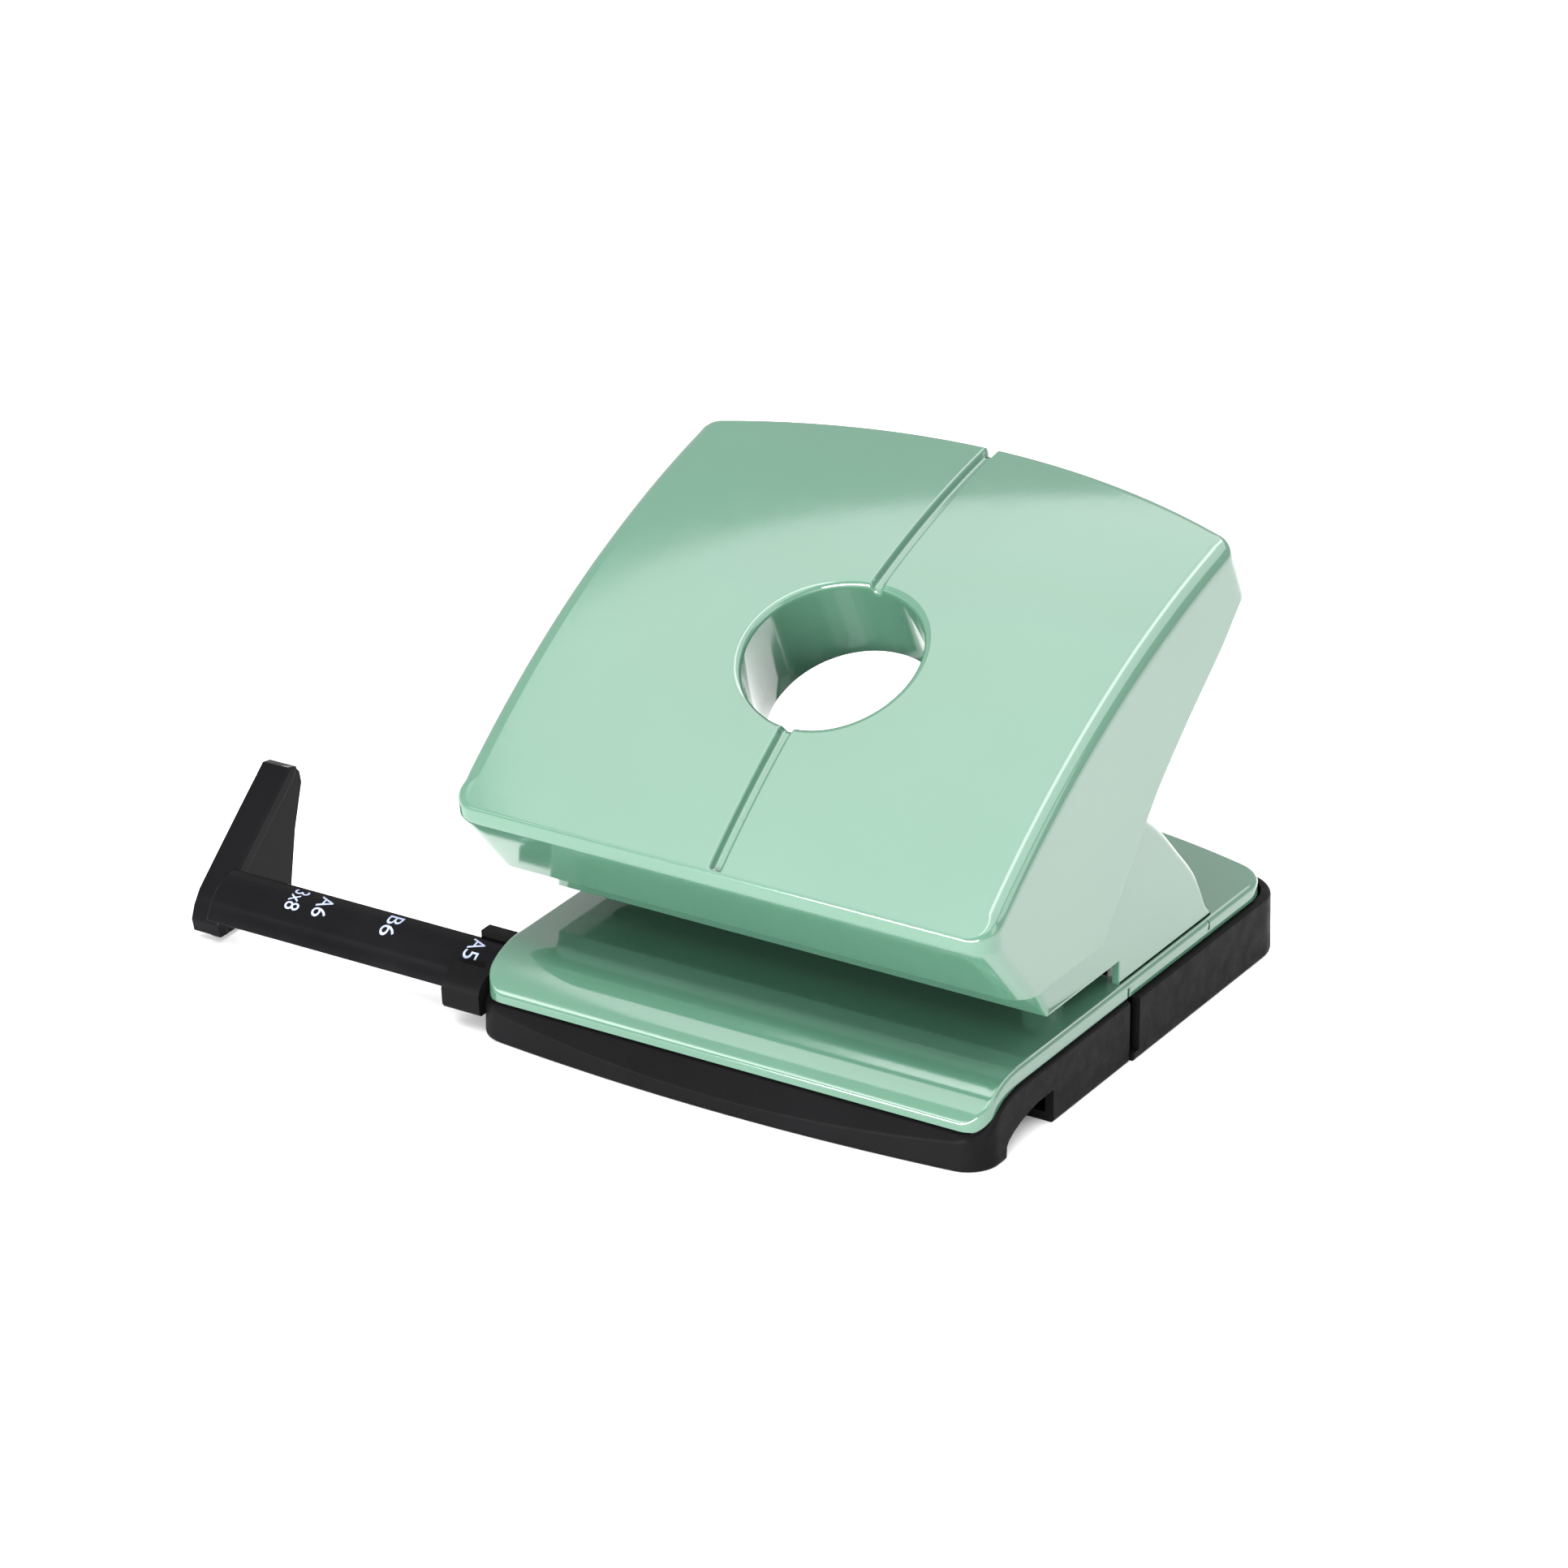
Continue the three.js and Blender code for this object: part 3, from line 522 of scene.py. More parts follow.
    rings = rim[::-1] + top + edge + skirt + inside
    points, faces = loft(rings, closed=True)
    return add_piece("handle_shell", points, faces, material, "handle", ["handle_cover"])


# ---- base ------------------------------------------------------------------

def deck_z(y):
    """Level deck that rolls down to the front lip."""
    d = np.maximum(ROLL_START - y, 0)
    return DECK_Z - (ROLL_RADIUS - np.sqrt(ROLL_RADIUS ** 2 - d ** 2))


def base_plan():
    return Plan(spread(30), spread(14), spread(70), spread(16), np.linspace(1, 0, 34))


def base_ring(plan):
    """The deck's outline, on its rolled surface."""
    x, y, out = plan.at(BASE_HALF, LIP_Y, 0.0, BASE_CORNER, BASE_REAR, BASE_BOW, BASE_REAR_CORNER)
    return np.stack([x, y, deck_z(y)], 1), out


def deck_piece(material):
    plan = base_plan()
    ring, out = base_ring(plan)
    y = ring[:, 1]
    d = np.maximum(ROLL_START - y, 0)
    slope = (d / np.sqrt(ROLL_RADIUS ** 2 - d ** 2)) * out[:, 1]
    outward = unit(np.stack([out[:, 0], out[:, 1], slope], 1))
    downward = np.tile([0.0, 0.0, -1.0], (len(y), 1))
    edge = corner_arc(ring, outward, downward, np.full(len(y), DECK_FILLET), 6)
    skirt_low = np.interp(y, [LIP_Y, -40.4, -38.5, -34.5, -30, 80], [6.9, 6.9, 8.2, 10.7, 11.6, 11.6])
    rings = []
    middle_x = np.clip(edge[0][:, 0], -30, 30)
    middle_y = np.clip(edge[0][:, 1], -18, 36)
    shares = np.concatenate([[0.0, 0.3], np.linspace(0.4, 0.985, 40), [0.994]])
    for share in shares:
        ring_x = middle_x + (edge[0][:, 0] - middle_x) * share
        ring_y = middle_y + (edge[0][:, 1] - middle_y) * share
        rings.append(np.stack([ring_x, ring_y, deck_z(ring_y)], 1))
    rings += edge
    for share in (0.1, 0.5, 0.9, 1.0):
        low = edge[-1].copy()
        low[:, 2] += (skirt_low - edge[-1][:, 2]) * share
        rings.append(low)
    inner = rings[-1] - np.stack([out[:, 0], out[:, 1], 0 * y], 1) * DECK_THICK
    rings.append(inner)
    top_in = inner.copy()
    top_in[:, 2] = deck_z(inner[:, 1]) - DECK_THICK
    rings.append(top_in)
    for share in (0.8, 0.5, 0.0):
        ring_x = middle_x + (top_in[:, 0] - middle_x) * share
        ring_y = middle_y + (top_in[:, 1] - middle_y) * share
        rings.append(np.stack([ring_x, ring_y, deck_z(ring_y) - DECK_THICK], 1))
    points, faces = loft(rings)
    count = len(y)
    faces.append(tuple(range(count - 1, -1, -1)))
    last = (len(rings) - 1) * count
    faces.append(tuple(range(last, last + count)))
    deck = add_piece("deck", points, faces, material, None)
    for x in (-HOLE_X, HOLE_X):
        combine(deck, rod(x, PIN_Y, 5, 20, DECK_HOLE_RADIUS), "DIFFERENCE")
        frame_hole = block(x - FRAME_HOLE_HALF, x + FRAME_HOLE_HALF, DEPTH_STOP_Y + 1.7, 17.4, 5, 20)
        combine(deck, frame_hole, "DIFFERENCE")
    for x in (-SCREW_X, SCREW_X):
        combine(deck, rod(x, SCREW_Y, 5, 20, SCREW_HOLE_RADIUS, 24), "DIFFERENCE")
    # Two small notches in each side of the rim
    for x0, x1 in ((-BASE_HALF - 1, -BASE_HALF + 0.45), (BASE_HALF - 0.45, BASE_HALF + 1)):
        combine(deck, block(x0, x1, 6.7, 7.4, 10, 13.4), "DIFFERENCE")
        combine(deck, block(x0, x1, 34.8, 35.2, 12.6, 15), "DIFFERENCE")
    combine(deck, prism(rail_passage(RAIL_GAP), -60, -BASE_HALF + 3), "DIFFERENCE")
    soften(deck, 0.15, 50)
    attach(deck, "base")
    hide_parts("base_plate")
    return deck


# ---- trays -----------------------------------------------------------------

FACET_Y = -41.55
FACET_SLOPE = 1.07
GRIP_NOTCH = [(-34.3, -1), (-34.2, 2.4), (-33.4, 3.3), (-32, 4.1), (-29.9, 4.9), (-26.8, 5.7),
              (-24, 6.1), (-19, 6.1), (-19, -1)]


def tray_rim(y):
    """Height of the black rim, just under the green skirt."""
    rolled = DECK_Z - (ROLL_RADIUS - np.sqrt(ROLL_RADIUS ** 2 - np.clip(ROLL_START - y, 0, 12.5) ** 2))
    return 0.5 * np.logaddexp((rolled - 3.1) / 0.5, 6.5 / 0.5)


def tray_facet(y):
    """The rim's height, falling away to the front bumper."""
    return tray_rim(y) - FACET_SLOPE * np.maximum(FACET_Y - y, 0)


def wall_rings(plan, outline, rim_height, rim_slope, fillet):
    """Rings of a tray's outer wall, from the table up to the rounded rim."""
    rings = []
    for z, inset in ((0.0, 0.6), (0.06, 0.3), (0.25, 0.1), (0.6, 0.0)):
        x, y, _ = outline(plan, inset, z)
        rings.append(np.stack([x, y, z + 0 * x], 1))
    x, y, out = outline(plan, 0.0, 10.0)
    corner = np.stack([x, y, rim_height(y)], 1)
    up = np.tile([0.0, 0.0, 1.0], (len(x), 1))
    inward = unit(np.stack([-out[:, 0], -out[:, 1], rim_slope(x, y, out)], 1))
    edge = corner_arc(corner, up, inward, fillet(out), 6)
    for share in (0.1, 0.5, 0.9):
        z = 0.6 + (edge[0][:, 2] - 0.6) * share
        x, y, _ = outline(plan, 0.0, z)
        rings.append(np.stack([x, y, z], 1))
    rings += edge
    return rings


def base_tray_outline(plan, inset, _z):
    return plan.at(TRAY_HALF - inset, TRAY_FRONT + inset, TRAY_FRONT_BOW, TRAY_CORNER - inset,
                   TRAY_SIDE_END, 0.0, 0.5)


def base_tray_piece(material):
    plan = Plan(spread(40), spread(16), spread(60), spread(3), np.linspace(1, 0, 20))

    def slope(x, y, out):
        front = FACET_SLOPE * np.clip((FACET_Y - y) / 0.3, 0, 1)
        return np.where(out[:, 1] < 0, front * -out[:, 1], 0)

    def fillet(out):
        corner = np.clip(4 * np.abs(out[:, 0] * out[:, 1]), 0, 1)
        return 0.45 + 0.9 * corner

    rings = wall_rings(plan, base_tray_outline, tray_facet, slope, fillet)
    rim_fronts = [(FACET_Y - 0.15, 0.72, 0.12), (FACET_Y + 0.1, 0.8, 0.0), (FACET_Y + 0.35, 0.95, 0.0)]
    for front, inset, drop in rim_fronts:
        x, y, _ = plan.at(TRAY_HALF - inset, front, 0.0, 5.2, TRAY_SIDE_END - inset, 0.0, 0.5)
        rings.append(np.stack([x, y, tray_rim(y) - drop], 1))
    for inset, drop in ((1.5, 0.0), (1.6, 0.1)):
        x, y, _ = plan.at(TRAY_HALF - inset, TRAY_INNER_FRONT - TRAY_WALL + inset, 0.0, TRAY_INNER_CORNER,
                          TRAY_SIDE_END - inset, 0.0, 0.5)
        rings.append(np.stack([x, y, tray_rim(y) - drop], 1))
    x, y, _ = plan.at(TRAY_HALF - TRAY_WALL, TRAY_INNER_FRONT, 0.0, TRAY_INNER_CORNER,
                      TRAY_SIDE_END - TRAY_WALL, 0.0, 0.5)
    rings.append(np.stack([x, y, TRAY_WALL + 0 * x], 1))
    points, faces = loft(rings, caps=True)
    tray = add_piece("base_tray_body", points, faces, material, None)
    combine(tray, block(-60, 60, TRAY_END_Y, 20, TRAY_WALL, 40), "DIFFERENCE")
    rib = [(-40.2, 1), (-29.2, 1), (-29.2, 8.6), (-33, 8.6), (-36, 6.8), (-37.2, 4), (-40.2, 3.8)]
    for x in RIB_XS:
        combine(tray, prism(rib, x, x + TRAY_WALL), "UNION")
    for side in (-1, 1):
        for overlap, end_y in ((0.2, TRAY_END_Y), (0.0, 9.7)):
            combine(tray, joint_tab(side, overlap, end_y), "UNION")
    combine(tray, rail_bracket(), "UNION")
    combine(tray, prism(rail_passage(RAIL_GAP), -60, TRAY_HALF - 2), "DIFFERENCE")
    combine(tray, prism(GRIP_NOTCH, 43, 60), "DIFFERENCE")
    soften(tray, 0.22, 40)
    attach(tray, "base")
    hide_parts("base_tray")
    return tray


def joint_tab(side, overlap, end_y):
    """A tab inside the side wall, which closes the joint to the chip tray."""
    face = side * (TRAY_HALF - TRAY_WALL)
    low, high = sorted((face - side * 1.2, face + side * overlap))
    return block(low, high, 4.6, end_y, 2.0, 8.6)


def rail_bracket():
    """The bracket on the tray's left side, with the window that the paper stop slides in."""
    outline = [(-41.6, 3.6), (-42.15, 4.3), (-42.4, 7.3), (-42.15, 8.4), (-41.4, 9.3), (-40.2, 10.0),
               (-38.4, 10.7), (-36, 11.6), (-30, 13), (-27.5, 13), (-27.2, 12.7), (-27.2, 3.8)]
    window = [(-38.2, 30), (-38.2, 7.4), (-36.9, 8.2), (-34, 9.6), (-30.1, 10), (-30.1, 30)]
    bracket = prism(outline, -55.5, -48.0)
    return combine(bracket, prism(window, -56, -TRAY_HALF - 0.3), "DIFFERENCE")


def chip_outline(plan, inset, z):
    flare = 0.5 * np.clip(1 - np.asarray(z, float) / TRAY_TOP, 0, 1)
    return plan.at(CHIP_HALF - inset, -20.0, 0.0, 2.0, CHIP_REAR - inset + flare, CHIP_BOW, 9.0 - inset)


def chip_tray_piece(material):
    plan = Plan(spread(10), spread(3), spread(70), spread(20), np.linspace(1, 0, 40))

    def slope(x, y, out):
        return 0 * x

    def fillet(out):
        return 0.45 + 0.85 * np.clip(out[:, 1], 0, 1) ** 0.7

    rings = wall_rings(plan, chip_outline, lambda y: TRAY_TOP + 0 * y, slope, fillet)
    inner_wall = [(1.5, TRAY_TOP), (TRAY_WALL, TRAY_TOP - 0.1), (TRAY_WALL, 6.0), (TRAY_WALL, 2.0),
                  (1.7, 1.7), (2.0, TRAY_WALL)]
    for inset, z in inner_wall:
        x, y, _ = chip_outline(plan, inset, 10.0)
        rings.append(np.stack([x, y, z + 0 * x], 1))
    points, faces = loft(rings, caps=True)
    tray = add_piece("chip_tray_body", points, faces, material, None)
    combine(tray, block(-60, 60, -30, FLAP_Y + FLAP_GAP, -1, 40), "DIFFERENCE")
    combine(tray, block(-60, 60, -30, FLAP_WALL_Y, TRAY_WALL, 40), "DIFFERENCE")
    soften(tray, 0.22, 40)
    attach(tray, "chip_flap")
    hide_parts("chip_tray")
    return tray


# ---- paper stop --------------------------------------------------------------

STOP_X = -105.3
RAIL_END_X = 10.0
RAIL_TOP = [(-30.5, 12), (-33, 11.65), (-35.2, 10.7), (-37, 9.1), (-38.3, 7.2), (-39, 5.6)]
RAIL_UNDER = [(-37.5, 5), (-36.8, 6.6), (-35.8, 8.1), (-34.3, 9.4), (-32.6, 10.1), (-30.5, 10.4)]


def rail_passage(gap):
    """Outline of the bar with a gap all round."""
    return [
        (-30.5 + gap, 12 + gap), (-33, 11.65 + gap), (-35.2 - gap * 0.4, 10.7 + gap),
        (-37 - gap * 0.7, 9.1 + gap * 0.7), (-38.3 - gap, 7.2 + gap * 0.4), (-39 - gap, 5.6),
        (-39 - gap, 5.0 - gap), (-37.5 + gap, 5 - gap), (-36.8 + gap * 0.8, 6.6 - gap * 0.5),
        (-35.8 + gap * 0.7, 8.1 - gap * 0.7), (-34.3 + gap * 0.3, 9.4 - gap), (-32.6, 10.1 - gap),
        (-30.5 + gap, 10.4 - gap),
    ]


def rail_piece(material):
    upper = spline(RAIL_TOP, 4)
    lower = spline(RAIL_UNDER, 3)
    rail = prism([*upper.tolist(), *lower.tolist()], STOP_X - 1, RAIL_END_X)
    rail.name = "paper_stop_bar"
    rail.data.materials.append(material)
    soften(rail, 0.2, 40)
    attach(rail, "paper_stop")
    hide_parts("format_rail")
    fin = [(-36.9, 3.8), (-36.3, 1.4), (-35.4, 0.8), (-15, 0.8), (-14.2, 2.4), (-12.6, 12.5),
           (-10.3, 20.6), (-10.8, 22.8), (-12.4, 24.5), (-14.6, 24.9), (-22.2, 18.7), (-29.8, 12.4),
           (-34.3, 8.6), (-36, 6.2)]
    rim = [(-36.9, 3.8), (-36.3, 1.4), (-34, 1.2), (-34.6, 3.8), (-33.6, 5.6), (-32.2, 7.2),
           (-28, 10.6), (-20.6, 16.7), (-13.4, 22.6), (-12.4, 24.5), (-14.6, 24.9), (-22.2, 18.7),
           (-29.8, 12.4), (-34.3, 8.6), (-36, 6.2)]
    flag = prism(fin, STOP_X - 2.3, STOP_X - 0.6)
    combine(flag, prism(rim, STOP_X - 5.8, STOP_X), "UNION")
    flag.name = "paper_stop_flag"
    flag.data.materials.append(material)
    soften(flag, 0.35, 30, 3)
    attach(flag, "paper_stop")
    return rail, flag


# Half the width of each paper format, which is how far its edge lies from the middle
FORMATS = {"A4": 148.5, "A5": 105.0, "B6": 88.0, "A6": 74.0, "3x8": 68.5}
MARK_X = -54.4              # the mark that the bracket shows when the stop stands at A5
MARK_Y = (-31.5, -35.9)
MARK_HEIGHT = 2.9
MARK_LIFT = 0.05            # above the bar's surface


def format_marks(material):
    upper = spline(RAIL_TOP, 8)
    marks = []
    for word, half in FORMATS.items():
        text = bpy.data.curves.new("mark", "FONT")
        text.body = word
        text.resolution_u = 3
        holder = bpy.data.objects.new("mark", text)
        bpy.context.collection.objects.link(holder)
        bpy.context.view_layer.update()
        mesh = bpy.data.meshes.new_from_object(holder.evaluated_get(bpy.context.evaluated_depsgraph_get()))
        bpy.data.objects.remove(holder)
        bm = bmesh.new()
        bm.from_mesh(mesh)
        bmesh.ops.triangulate(bm, faces=bm.faces)
        bmesh.ops.subdivide_edges(bm, edges=bm.edges, cuts=2, use_grid_fill=True)
        bm.to_mesh(mesh)
        bm.free()
        place = np.array([v.co for v in mesh.vertices], float)
        low, high = place.min(0), place.max(0)
        along = (place[:, 0] - low[0]) / (high[0] - low[0])
        up = (place[:, 1] - low[1]) / (high[1] - low[1])
        centre_x = MARK_X - (FORMATS["A5"] - half)
        x = centre_x + (up - 0.5) * MARK_HEIGHT
        y = MARK_Y[0] + along * (MARK_Y[1] - MARK_Y[0])
        z = np.interp(-y, -upper[:, 0], upper[:, 1]) + MARK_LIFT
        for vertex, p in zip(mesh.vertices, np.stack([x, y, z], 1)):
            vertex.co = Vector(p.tolist()) * MM
        name = "format_mark_" + word
        piece = bpy.data.objects.new(name, mesh)
        bpy.context.collection.objects.link(piece)
        mesh.materials.clear()
        mesh.materials.append(material)
        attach(piece, "paper_stop")
        marks.append(piece)
    return marks


# ---- inner cover ---------------------------------------------------------------

def round_outline(points, radii, steps=5):
    """Rounds the corners of a closed outline that have a radius."""
    p = np.asarray(points, float)
    line = []
    for i, radius in enumerate(radii):
        before = p[i] - p[i - 1]
        after = p[(i + 1) % len(p)] - p[i]
        if radius <= 0:
            line.append(p[i][None])
            continue
        flat = [np.append(v, 0)[None] for v in (p[i], unit(before), unit(after))]
        arcs = corner_arc(flat[0], flat[1], flat[2], np.array([radius]), steps)
        line.append(np.concatenate(arcs)[:, :2])
    return np.concatenate(line)


def inset_outline(line, distance):
    """Moves each point of a closed outline sideways by its own distance."""
    before = unit(line - np.roll(line, 1, 0))
    after = unit(np.roll(line, -1, 0) - line)
    left_before = np.stack([-before[:, 1], before[:, 0]], 1)
    left_after = np.stack([-after[:, 1], after[:, 0]], 1)
    bisector = (left_before + left_after) / (1 + np.sum(left_before * left_after, 1))[:, None]
    return line + bisector * distance[:, None]


def cover_piece(material):
    front = spline([(-18.5, SLOT_Z), (-22.3, 24), (-26.5, 30), (-29.6, 36)], 4)[1:]
    top = [(-28.9, 41), (-25, 45), (-10, 47), (2, 47)]
    rear = spline([(8, 45.6), (14, 41.5), (19.4, 37.2), (25.6, 30.9), (32.2, 23.7), (36.9, 15.4)], 6)
    corners = [(-18.5, SLOT_Z), *front.tolist(), *top, *rear.tolist(), (37.3, COVER_FOOT_Z),
               (DEPTH_STOP_Y, COVER_FOOT_Z), (DEPTH_STOP_Y, SLOT_Z)]
    radii = [0.35] + [0] * (len(front) - 1) + [2.0, 2.0, 2.0, 3.0, 3.0] + [0] * len(rear) + [0.1, 0.1, 0.3]
    line = round_outline(corners, radii)
    area = np.sum(line[:, 0] * np.roll(line[:, 1], -1) - np.roll(line[:, 0], -1) * line[:, 1])
    inward = 1.0 if area > 0 else -1.0
    # The side edges are rounder where they show, above the slot and above the rear foot
    above_slot = np.clip((line[:, 1] - SLOT_Z) / 1.0, 0, 1) * (line[:, 0] < 20)
    above_foot = (line[:, 0] >= 20) * np.clip((line[:, 1] - 15) / 2, 0, 1)
    radius = 0.3 + 1.0 * (above_slot + above_foot)
    rings = []
    for side in (-1, 1):
        one = []
        for angle in np.linspace(0, math.pi / 2, 8):
            x = COVER_HALF - radius * (1 - math.sin(angle))
            flat = inset_outline(line, inward * radius * (1 - math.cos(angle)))
            one.append(np.stack([side * x, flat[:, 0], flat[:, 1]], 1))
        flat = inset_outline(line, inward * (radius + 0.25))
        one.append(np.stack([side * COVER_HALF + 0 * flat[:, 0], flat[:, 0], flat[:, 1]], 1))
        flat = np.stack([side * (COVER_HALF - 3) + 0 * line[:, 0], line[:, 0], line[:, 1]], 1)
        one.insert(0, flat)
        rings.append(one)
    points, faces = loft(rings[0][::-1] + rings[1], caps=True)
    cover = add_piece("inner_cover", points, faces, material, None)
    combine(cover, block(-SADDLE_HALF, SADDLE_HALF, -45, 45, SADDLE_Z, 60), "DIFFERENCE")
    for x in (-HOLE_X, HOLE_X):
        outer = x + math.copysign(POCKET_OUTER, x)
        inner = x - math.copysign(POCKET_INNER, x)
        low, high = sorted((outer, inner))
        combine(cover, block(x - LEVER_SLOT_HALF, x + LEVER_SLOT_HALF, -35, 16.5, 36, 60), "DIFFERENCE")
        combine(cover, block(low, high, -26.5, POCKET_REAR, 29, 37), "DIFFERENCE")
        combine(cover, block(x - POCKET_OUTER, x + POCKET_OUTER, -13, POCKET_REAR, 20, 30), "DIFFERENCE")
        combine(cover, rod(x, PIN_Y, 10, 31, PIN_ROOM_RADIUS), "DIFFERENCE")
    for x0, x1 in ((-COVER_HALF + 1.3, -STOP_HALF), (STOP_HALF, COVER_HALF - 1.3)):
        combine(cover, block(x0, x1, 4.5, 12, 14, SLOT_Z + 0.4), "DIFFERENCE")
    soften(cover, 0.2, 40)
    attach(cover, "base")
    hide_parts("punch_cover")
    return cover


# ---- return springs -----------------------------------------------------------------

SPRING_LOW = 22.1
SPRING_HIGH = 34.95
SPRING_RADIUS = 3.55
SPRING_WIRE = 0.45


def spring_piece(word, x, material):
    """Return spring with closed end turns."""
    turns, per_turn, sides = 7.0, 40, 10
    share = np.linspace(0, 1, int(turns * per_turn) + 1)
    lead = np.interp(share * turns, [0, 0.9, turns - 0.9, turns], [0, 0.075, 0.925, 1])
    angle = share * turns * 2 * math.pi
    low, high = SPRING_LOW + SPRING_WIRE, SPRING_HIGH - SPRING_WIRE
    centre = np.stack([x + SPRING_RADIUS * np.cos(angle), PIN_Y + SPRING_RADIUS * np.sin(angle),
                       low + (high - low) * lead], 1)
    outward = np.stack([np.cos(angle), np.sin(angle), 0 * angle], 1)
    rings = []
    for c, o in zip(centre, outward):
        turn = np.linspace(0, 2 * math.pi, sides, endpoint=False)
        rings.append(c + SPRING_WIRE * (np.outer(np.cos(turn), o) + np.outer(np.sin(turn), [0, 0, 1])))
    points, faces = loft(rings, caps=True)
    node = "return_spring_" + word
    piece = add_piece("coil_" + word, points, faces, material, "base", [node])
    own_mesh(piece)
    return piece


# ---- materials ---------------------------------------------------------------

class Nodes:
    """Short way to write a material's nodes."""

    def __init__(self, name):
        self.material = bpy.data.materials.new(name)
        self.material.use_nodes = True
        self.tree = self.material.node_tree
        self.shader = self.tree.nodes["Principled BSDF"]
        self.output = self.tree.nodes["Material Output"]

    def add(self, kind, settings=None, **inputs):
        node = self.tree.nodes.new(kind)
        for key, value in (settings or {}).items():
            setattr(node, key, value)
        for key, value in inputs.items():
            socket = node.inputs[key.replace("_", " ")]
            if isinstance(value, bpy.types.NodeSocket):
                self.tree.links.new(value, socket)
            else:
                socket.default_value = value
        return node

    def set(self, **inputs):
        for key, value in inputs.items():
            socket = self.shader.inputs[key.replace("_", " ")]
            if isinstance(value, bpy.types.NodeSocket):
                self.tree.links.new(value, socket)
            else:
                socket.default_value = value

    def ramp(self, factor, stops):
        node = self.add("ShaderNodeValToRGB", Fac=factor)
        ramp = node.color_ramp
        while len(ramp.elements) < len(stops):
            ramp.elements.new(0.5)
        for element, (place, colour) in zip(ramp.elements, stops):
            element.position = place
            element.color = (*colour, 1.0)
        return node.outputs["Color"]

    def noise(self, scale, detail=3.0, roughness=0.5):
        place = self.add("ShaderNodeTexCoord").outputs["Object"]
        node = self.add("ShaderNodeTexNoise", Vector=place, Scale=scale, Detail=detail, Roughness=roughness)
        return node.outputs["Fac"]

    def bump(self, height, strength, distance):
        node = self.add("ShaderNodeBump", Height=height, Strength=strength, Distance=distance)
        return node.outputs["Normal"]


def gloss_plastic(name, dark, light, roughness):
    """Glossy moulded plastic: faint colour drift, a trace of orange peel and of handling marks."""
    n = Nodes(name)
    drift = n.noise(18.0, 2.0)
    n.set(Base_Color=n.ramp(drift, [(0.3, dark), (0.7, light)]))
    marks = n.noise(140.0, 5.0, 0.7)
    low, high = roughness
    n.set(Roughness=n.ramp(marks, [(0.35, (low,) * 3), (0.75, (high,) * 3)]))
    n.set(Normal=n.bump(n.noise(900.0, 2.0), 0.012, 0.0002))
    n.set(IOR=1.75)
    return n.material


def matte_plastic(name, dark, light, roughness, grain=0.12):
    """Black plastic with the fine spark-eroded grain of its mould."""
    n = Nodes(name)
    drift = n.noise(60.0, 4.0)
    n.set(Base_Color=n.ramp(drift, [(0.3, dark), (0.7, light)]))
    low, high = roughness
    n.set(Roughness=n.ramp(n.noise(300.0, 4.0, 0.6), [(0.3, (low,) * 3), (0.7, (high,) * 3)]))
    n.set(Normal=n.bump(n.noise(2600.0, 3.0, 0.6), grain, 0.0002))
    n.set(IOR=1.12)
    return n.material


def print_ink(name, dark, light):
    """Pad-printed ink, a little uneven."""
    n = Nodes(name)
    n.set(Base_Color=n.ramp(n.noise(400.0, 3.0), [(0.3, dark), (0.7, light)]), Roughness=0.5)
    n.set(Normal=n.bump(n.noise(2500.0, 2.0), 0.1, 0.0001))
    return n.material


def steel(name, dark, light, roughness, stretch):
    """Plated or ground steel with fine rolling marks."""
    n = Nodes(name)
    place = n.add("ShaderNodeTexCoord").outputs["Object"]
    stretched = n.add("ShaderNodeMapping", Vector=place, Scale=stretch).outputs["Vector"]
    lines = n.add("ShaderNodeTexNoise", Vector=stretched, Scale=700.0, Detail=4.0).outputs["Fac"]
    n.set(Base_Color=n.ramp(n.noise(90.0, 3.0), [(0.3, dark), (0.7, light)]))
    low, high = roughness
    n.set(Roughness=n.ramp(lines, [(0.3, (low,) * 3), (0.7, (high,) * 3)]))
    n.set(Normal=n.bump(lines, 0.08, 0.0001))
    n.set(Metallic=1.0)
    return n.material


def make_materials():
    mint = ((0.0425, 0.1035, 0.0685), (0.0455, 0.1105, 0.0735))
    black = ((0.0028, 0.0027, 0.0029), (0.0038, 0.0036, 0.004))
    rail = ((0.003, 0.003, 0.0035), (0.0045, 0.0045, 0.005))
    zinc = ((0.5, 0.51, 0.52), (0.62, 0.63, 0.63))
    ground = ((0.6, 0.6, 0.61), (0.7, 0.7, 0.71))
    wire = ((0.32, 0.33, 0.34), (0.45, 0.46, 0.47))
    ink = ((0.2, 0.23, 0.33), (0.26, 0.3, 0.4))
    return {
        "mint": gloss_plastic("mint_plastic", *mint, (0.07, 0.105)),
        "black": matte_plastic("black_plastic", *black, (0.45, 0.6)),
        "rail": matte_plastic("rail_plastic", *rail, (0.16, 0.24), 0.03),
        "sheet": steel("zinc_plate", *zinc, (0.28, 0.42), (1, 8, 1)),
        "tool": steel("ground_steel", *ground, (0.12, 0.22), (1, 1, 12)),
        "print": print_ink("format_print", *ink),
        "spring": steel("spring_wire", *wire, (0.25, 0.4), (4, 4, 4)),
    }


# ---- stage ---------------------------------------------------------------------

def softbox(name, place, aim, size, power):
    """A rectangular white area light."""
    data = bpy.data.lights.new(name, "AREA")
    data.shape = "RECTANGLE"
    data.size, data.size_y = size
    data.energy = power
    lamp = bpy.data.objects.new(name, data)
    bpy.context.collection.objects.link(lamp)
    lamp.location = place
    lamp.rotation_euler = (Vector(aim) - Vector(place)).to_track_quat("-Z", "Y").to_euler()
    return lamp


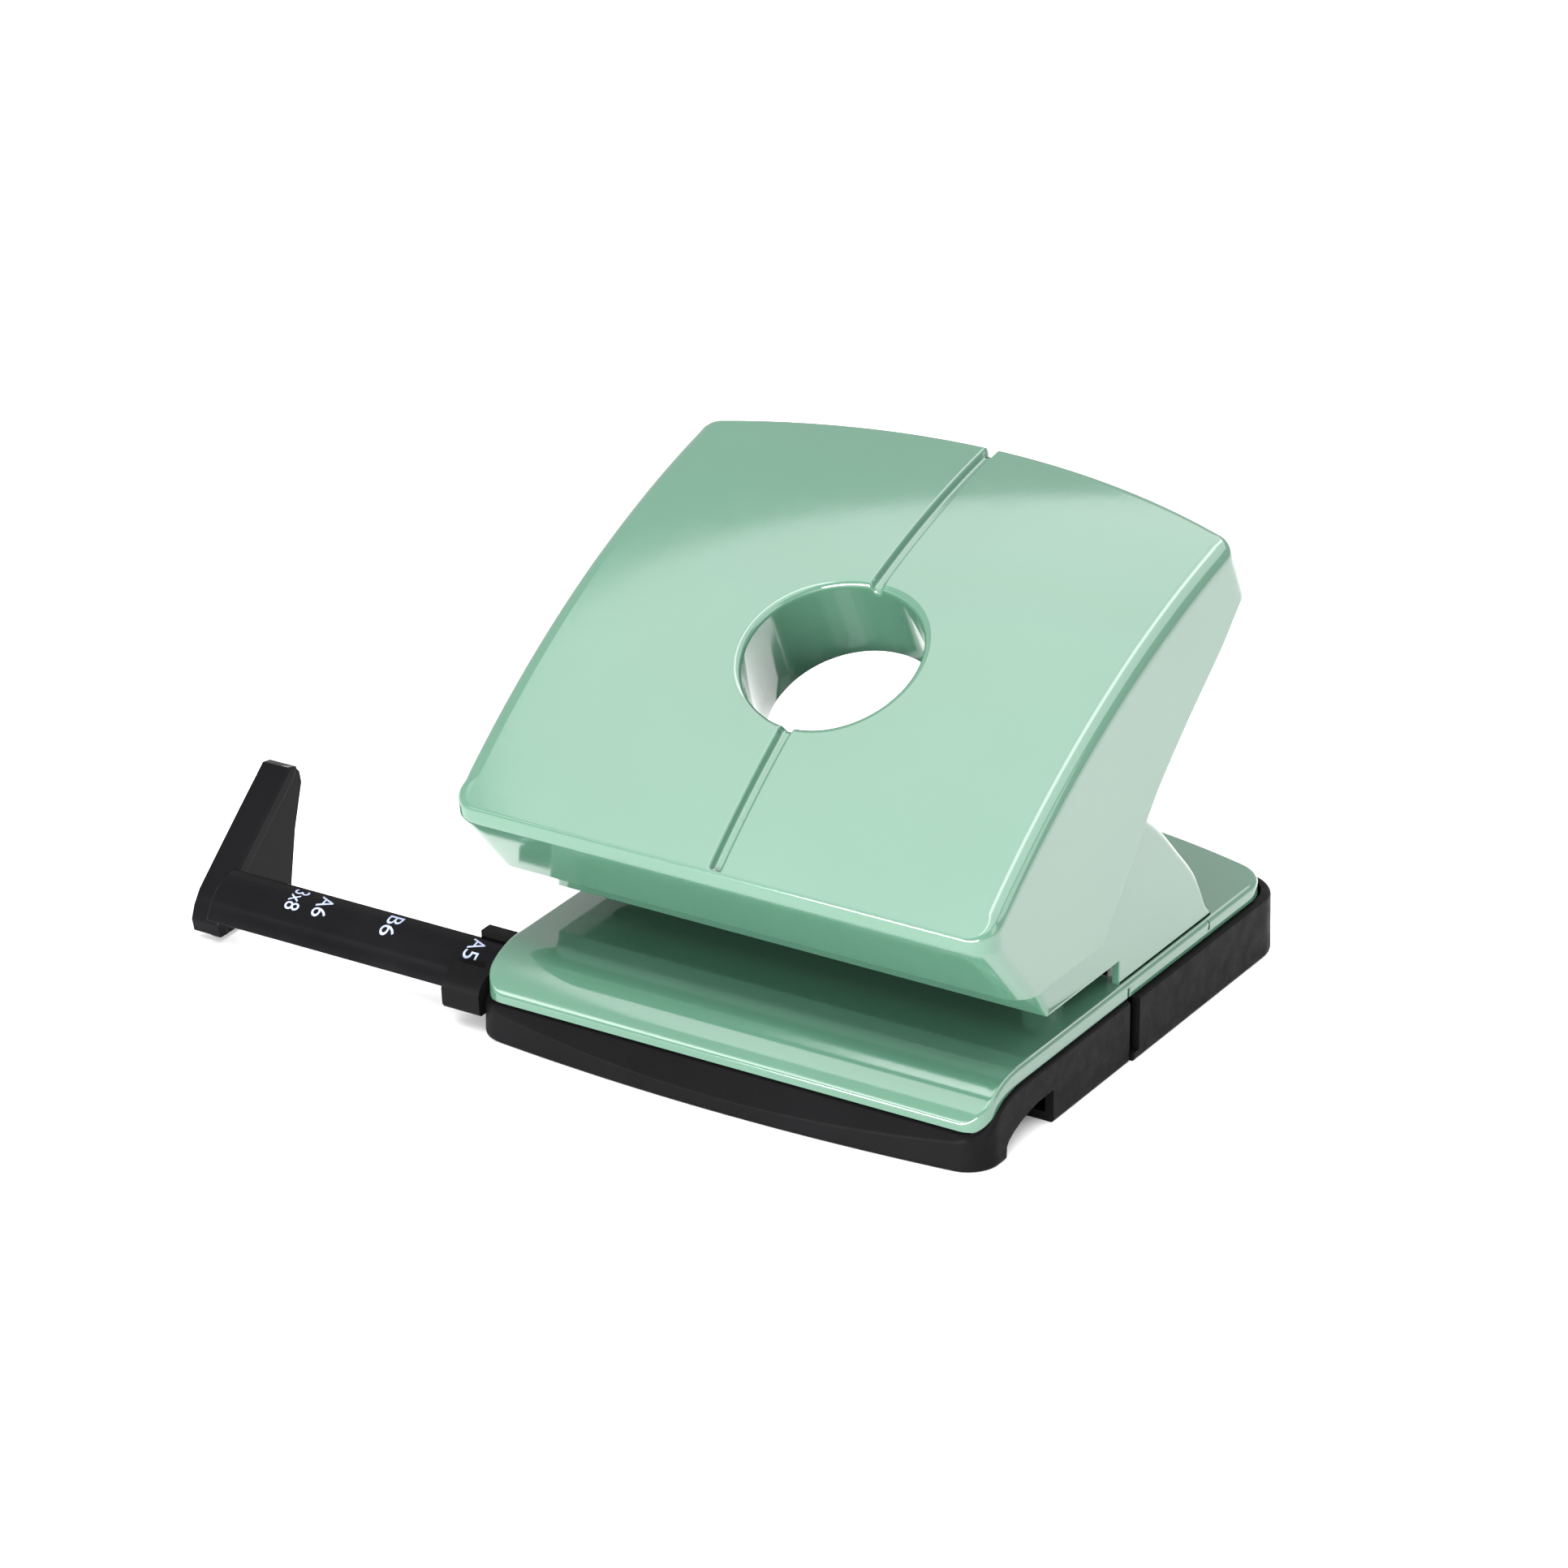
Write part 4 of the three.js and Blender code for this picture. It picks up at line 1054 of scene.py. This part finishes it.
def make_stage():
    floor = bpy.data.meshes.new("floor")
    floor.from_pydata([(-4, -4, 0), (4, -4, 0), (4, 4, 0), (-4, 4, 0)], [], [(0, 1, 2, 3)])
    ground = bpy.data.objects.new("floor", floor)
    bpy.context.collection.objects.link(ground)
    n = Nodes("floor_paper")
    paper = n.ramp(n.noise(3.0), [(0.0, (0.93, 0.93, 0.93)), (1.0, (0.95, 0.95, 0.95))])
    n.set(Base_Color=paper, Roughness=0.9)
    n.shader.inputs["Specular IOR Level"].default_value = 0.1
    floor.materials.append(n.material)

    world = bpy.data.worlds.new("studio")
    bpy.context.scene.world = world
    world.use_nodes = True
    world.node_tree.nodes["Background"].inputs["Color"].default_value = (1, 1, 1, 1)
    world.node_tree.nodes["Background"].inputs["Strength"].default_value = 1.0

    # Overhead softbox; its left edge draws the curved reflection across the handle
    overhead = softbox("overhead", (0.125, 0.17, 0.6), (0.125, 0.17, 0), (0.94, 1.4), 9.9)
    overhead.rotation_euler = (0, 0, math.radians(-6.5))
    # Narrow strip straight above: the bright lines along the edges and the groove
    strip = softbox("strip", (0.03, 0.1, 0.58), (0.03, 0.1, 0), (0.14, 1.2), 2.3)
    strip.rotation_euler = (0, 0, 0)
    softbox("front", (-0.5, -0.76, 0.56), (0, -0.03, 0.03), (0.3, 0.08), 0.5)
    softbox("fill", (0.0, -1.4, 0.16), (0, 0, 0.03), (1.4, 0.3), 62.0)
    softbox("right", (1.1, -0.1, 0.5), (0, 0, 0.03), (0.7, 0.7), 3.0)


def make_camera():
    data = bpy.data.cameras.new("camera")
    data.sensor_width = 36
    data.lens = 167.7
    data.clip_start = 0.05
    data.clip_end = 50
    camera = bpy.data.objects.new("camera", data)
    bpy.context.collection.objects.link(camera)
    place = Vector((0.5675, -0.9468, 0.5518))
    target = Vector((-0.0141, 0, 0.03827))
    camera.location = place
    camera.rotation_euler = (target - place).to_track_quat("-Z", "Y").to_euler()
    bpy.context.scene.camera = camera
    bpy.context.scene.view_settings.view_transform = "Standard"


# ---- assembly ----------------------------------------------------------------

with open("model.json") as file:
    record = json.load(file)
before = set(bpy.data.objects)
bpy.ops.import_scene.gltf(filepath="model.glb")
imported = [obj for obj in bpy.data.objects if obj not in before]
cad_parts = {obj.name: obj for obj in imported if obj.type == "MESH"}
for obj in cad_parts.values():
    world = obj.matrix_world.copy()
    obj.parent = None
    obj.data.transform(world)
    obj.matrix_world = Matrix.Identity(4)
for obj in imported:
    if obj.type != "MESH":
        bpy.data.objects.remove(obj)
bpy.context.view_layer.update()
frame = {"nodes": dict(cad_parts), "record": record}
make_camera()
make_stage()
materials = make_materials()

FINISH = {
    "mint_plastic": "mint", "black_plastic": "black", "rail_plastic": "rail",
    "frame_steel": "sheet", "tool_steel": "tool", "spring_steel": "spring",
}
for part in frame["record"]["subparts"]:
    node = frame["nodes"][part["node"]]
    node.data.materials.clear()
    node.data.materials.append(materials[FINISH[part["material_slot"]]])

handle_piece(materials["mint"])
deck_piece(materials["mint"])
cover_piece(materials["mint"])
base_tray_piece(materials["black"])
chip_tray_piece(materials["black"])
for piece in rail_piece(materials["rail"]):
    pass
for piece in format_marks(materials["print"]):
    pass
for word, side in (("left", -1), ("right", 1)):
    spring_piece(word, side * HOLE_X, materials["spring"])
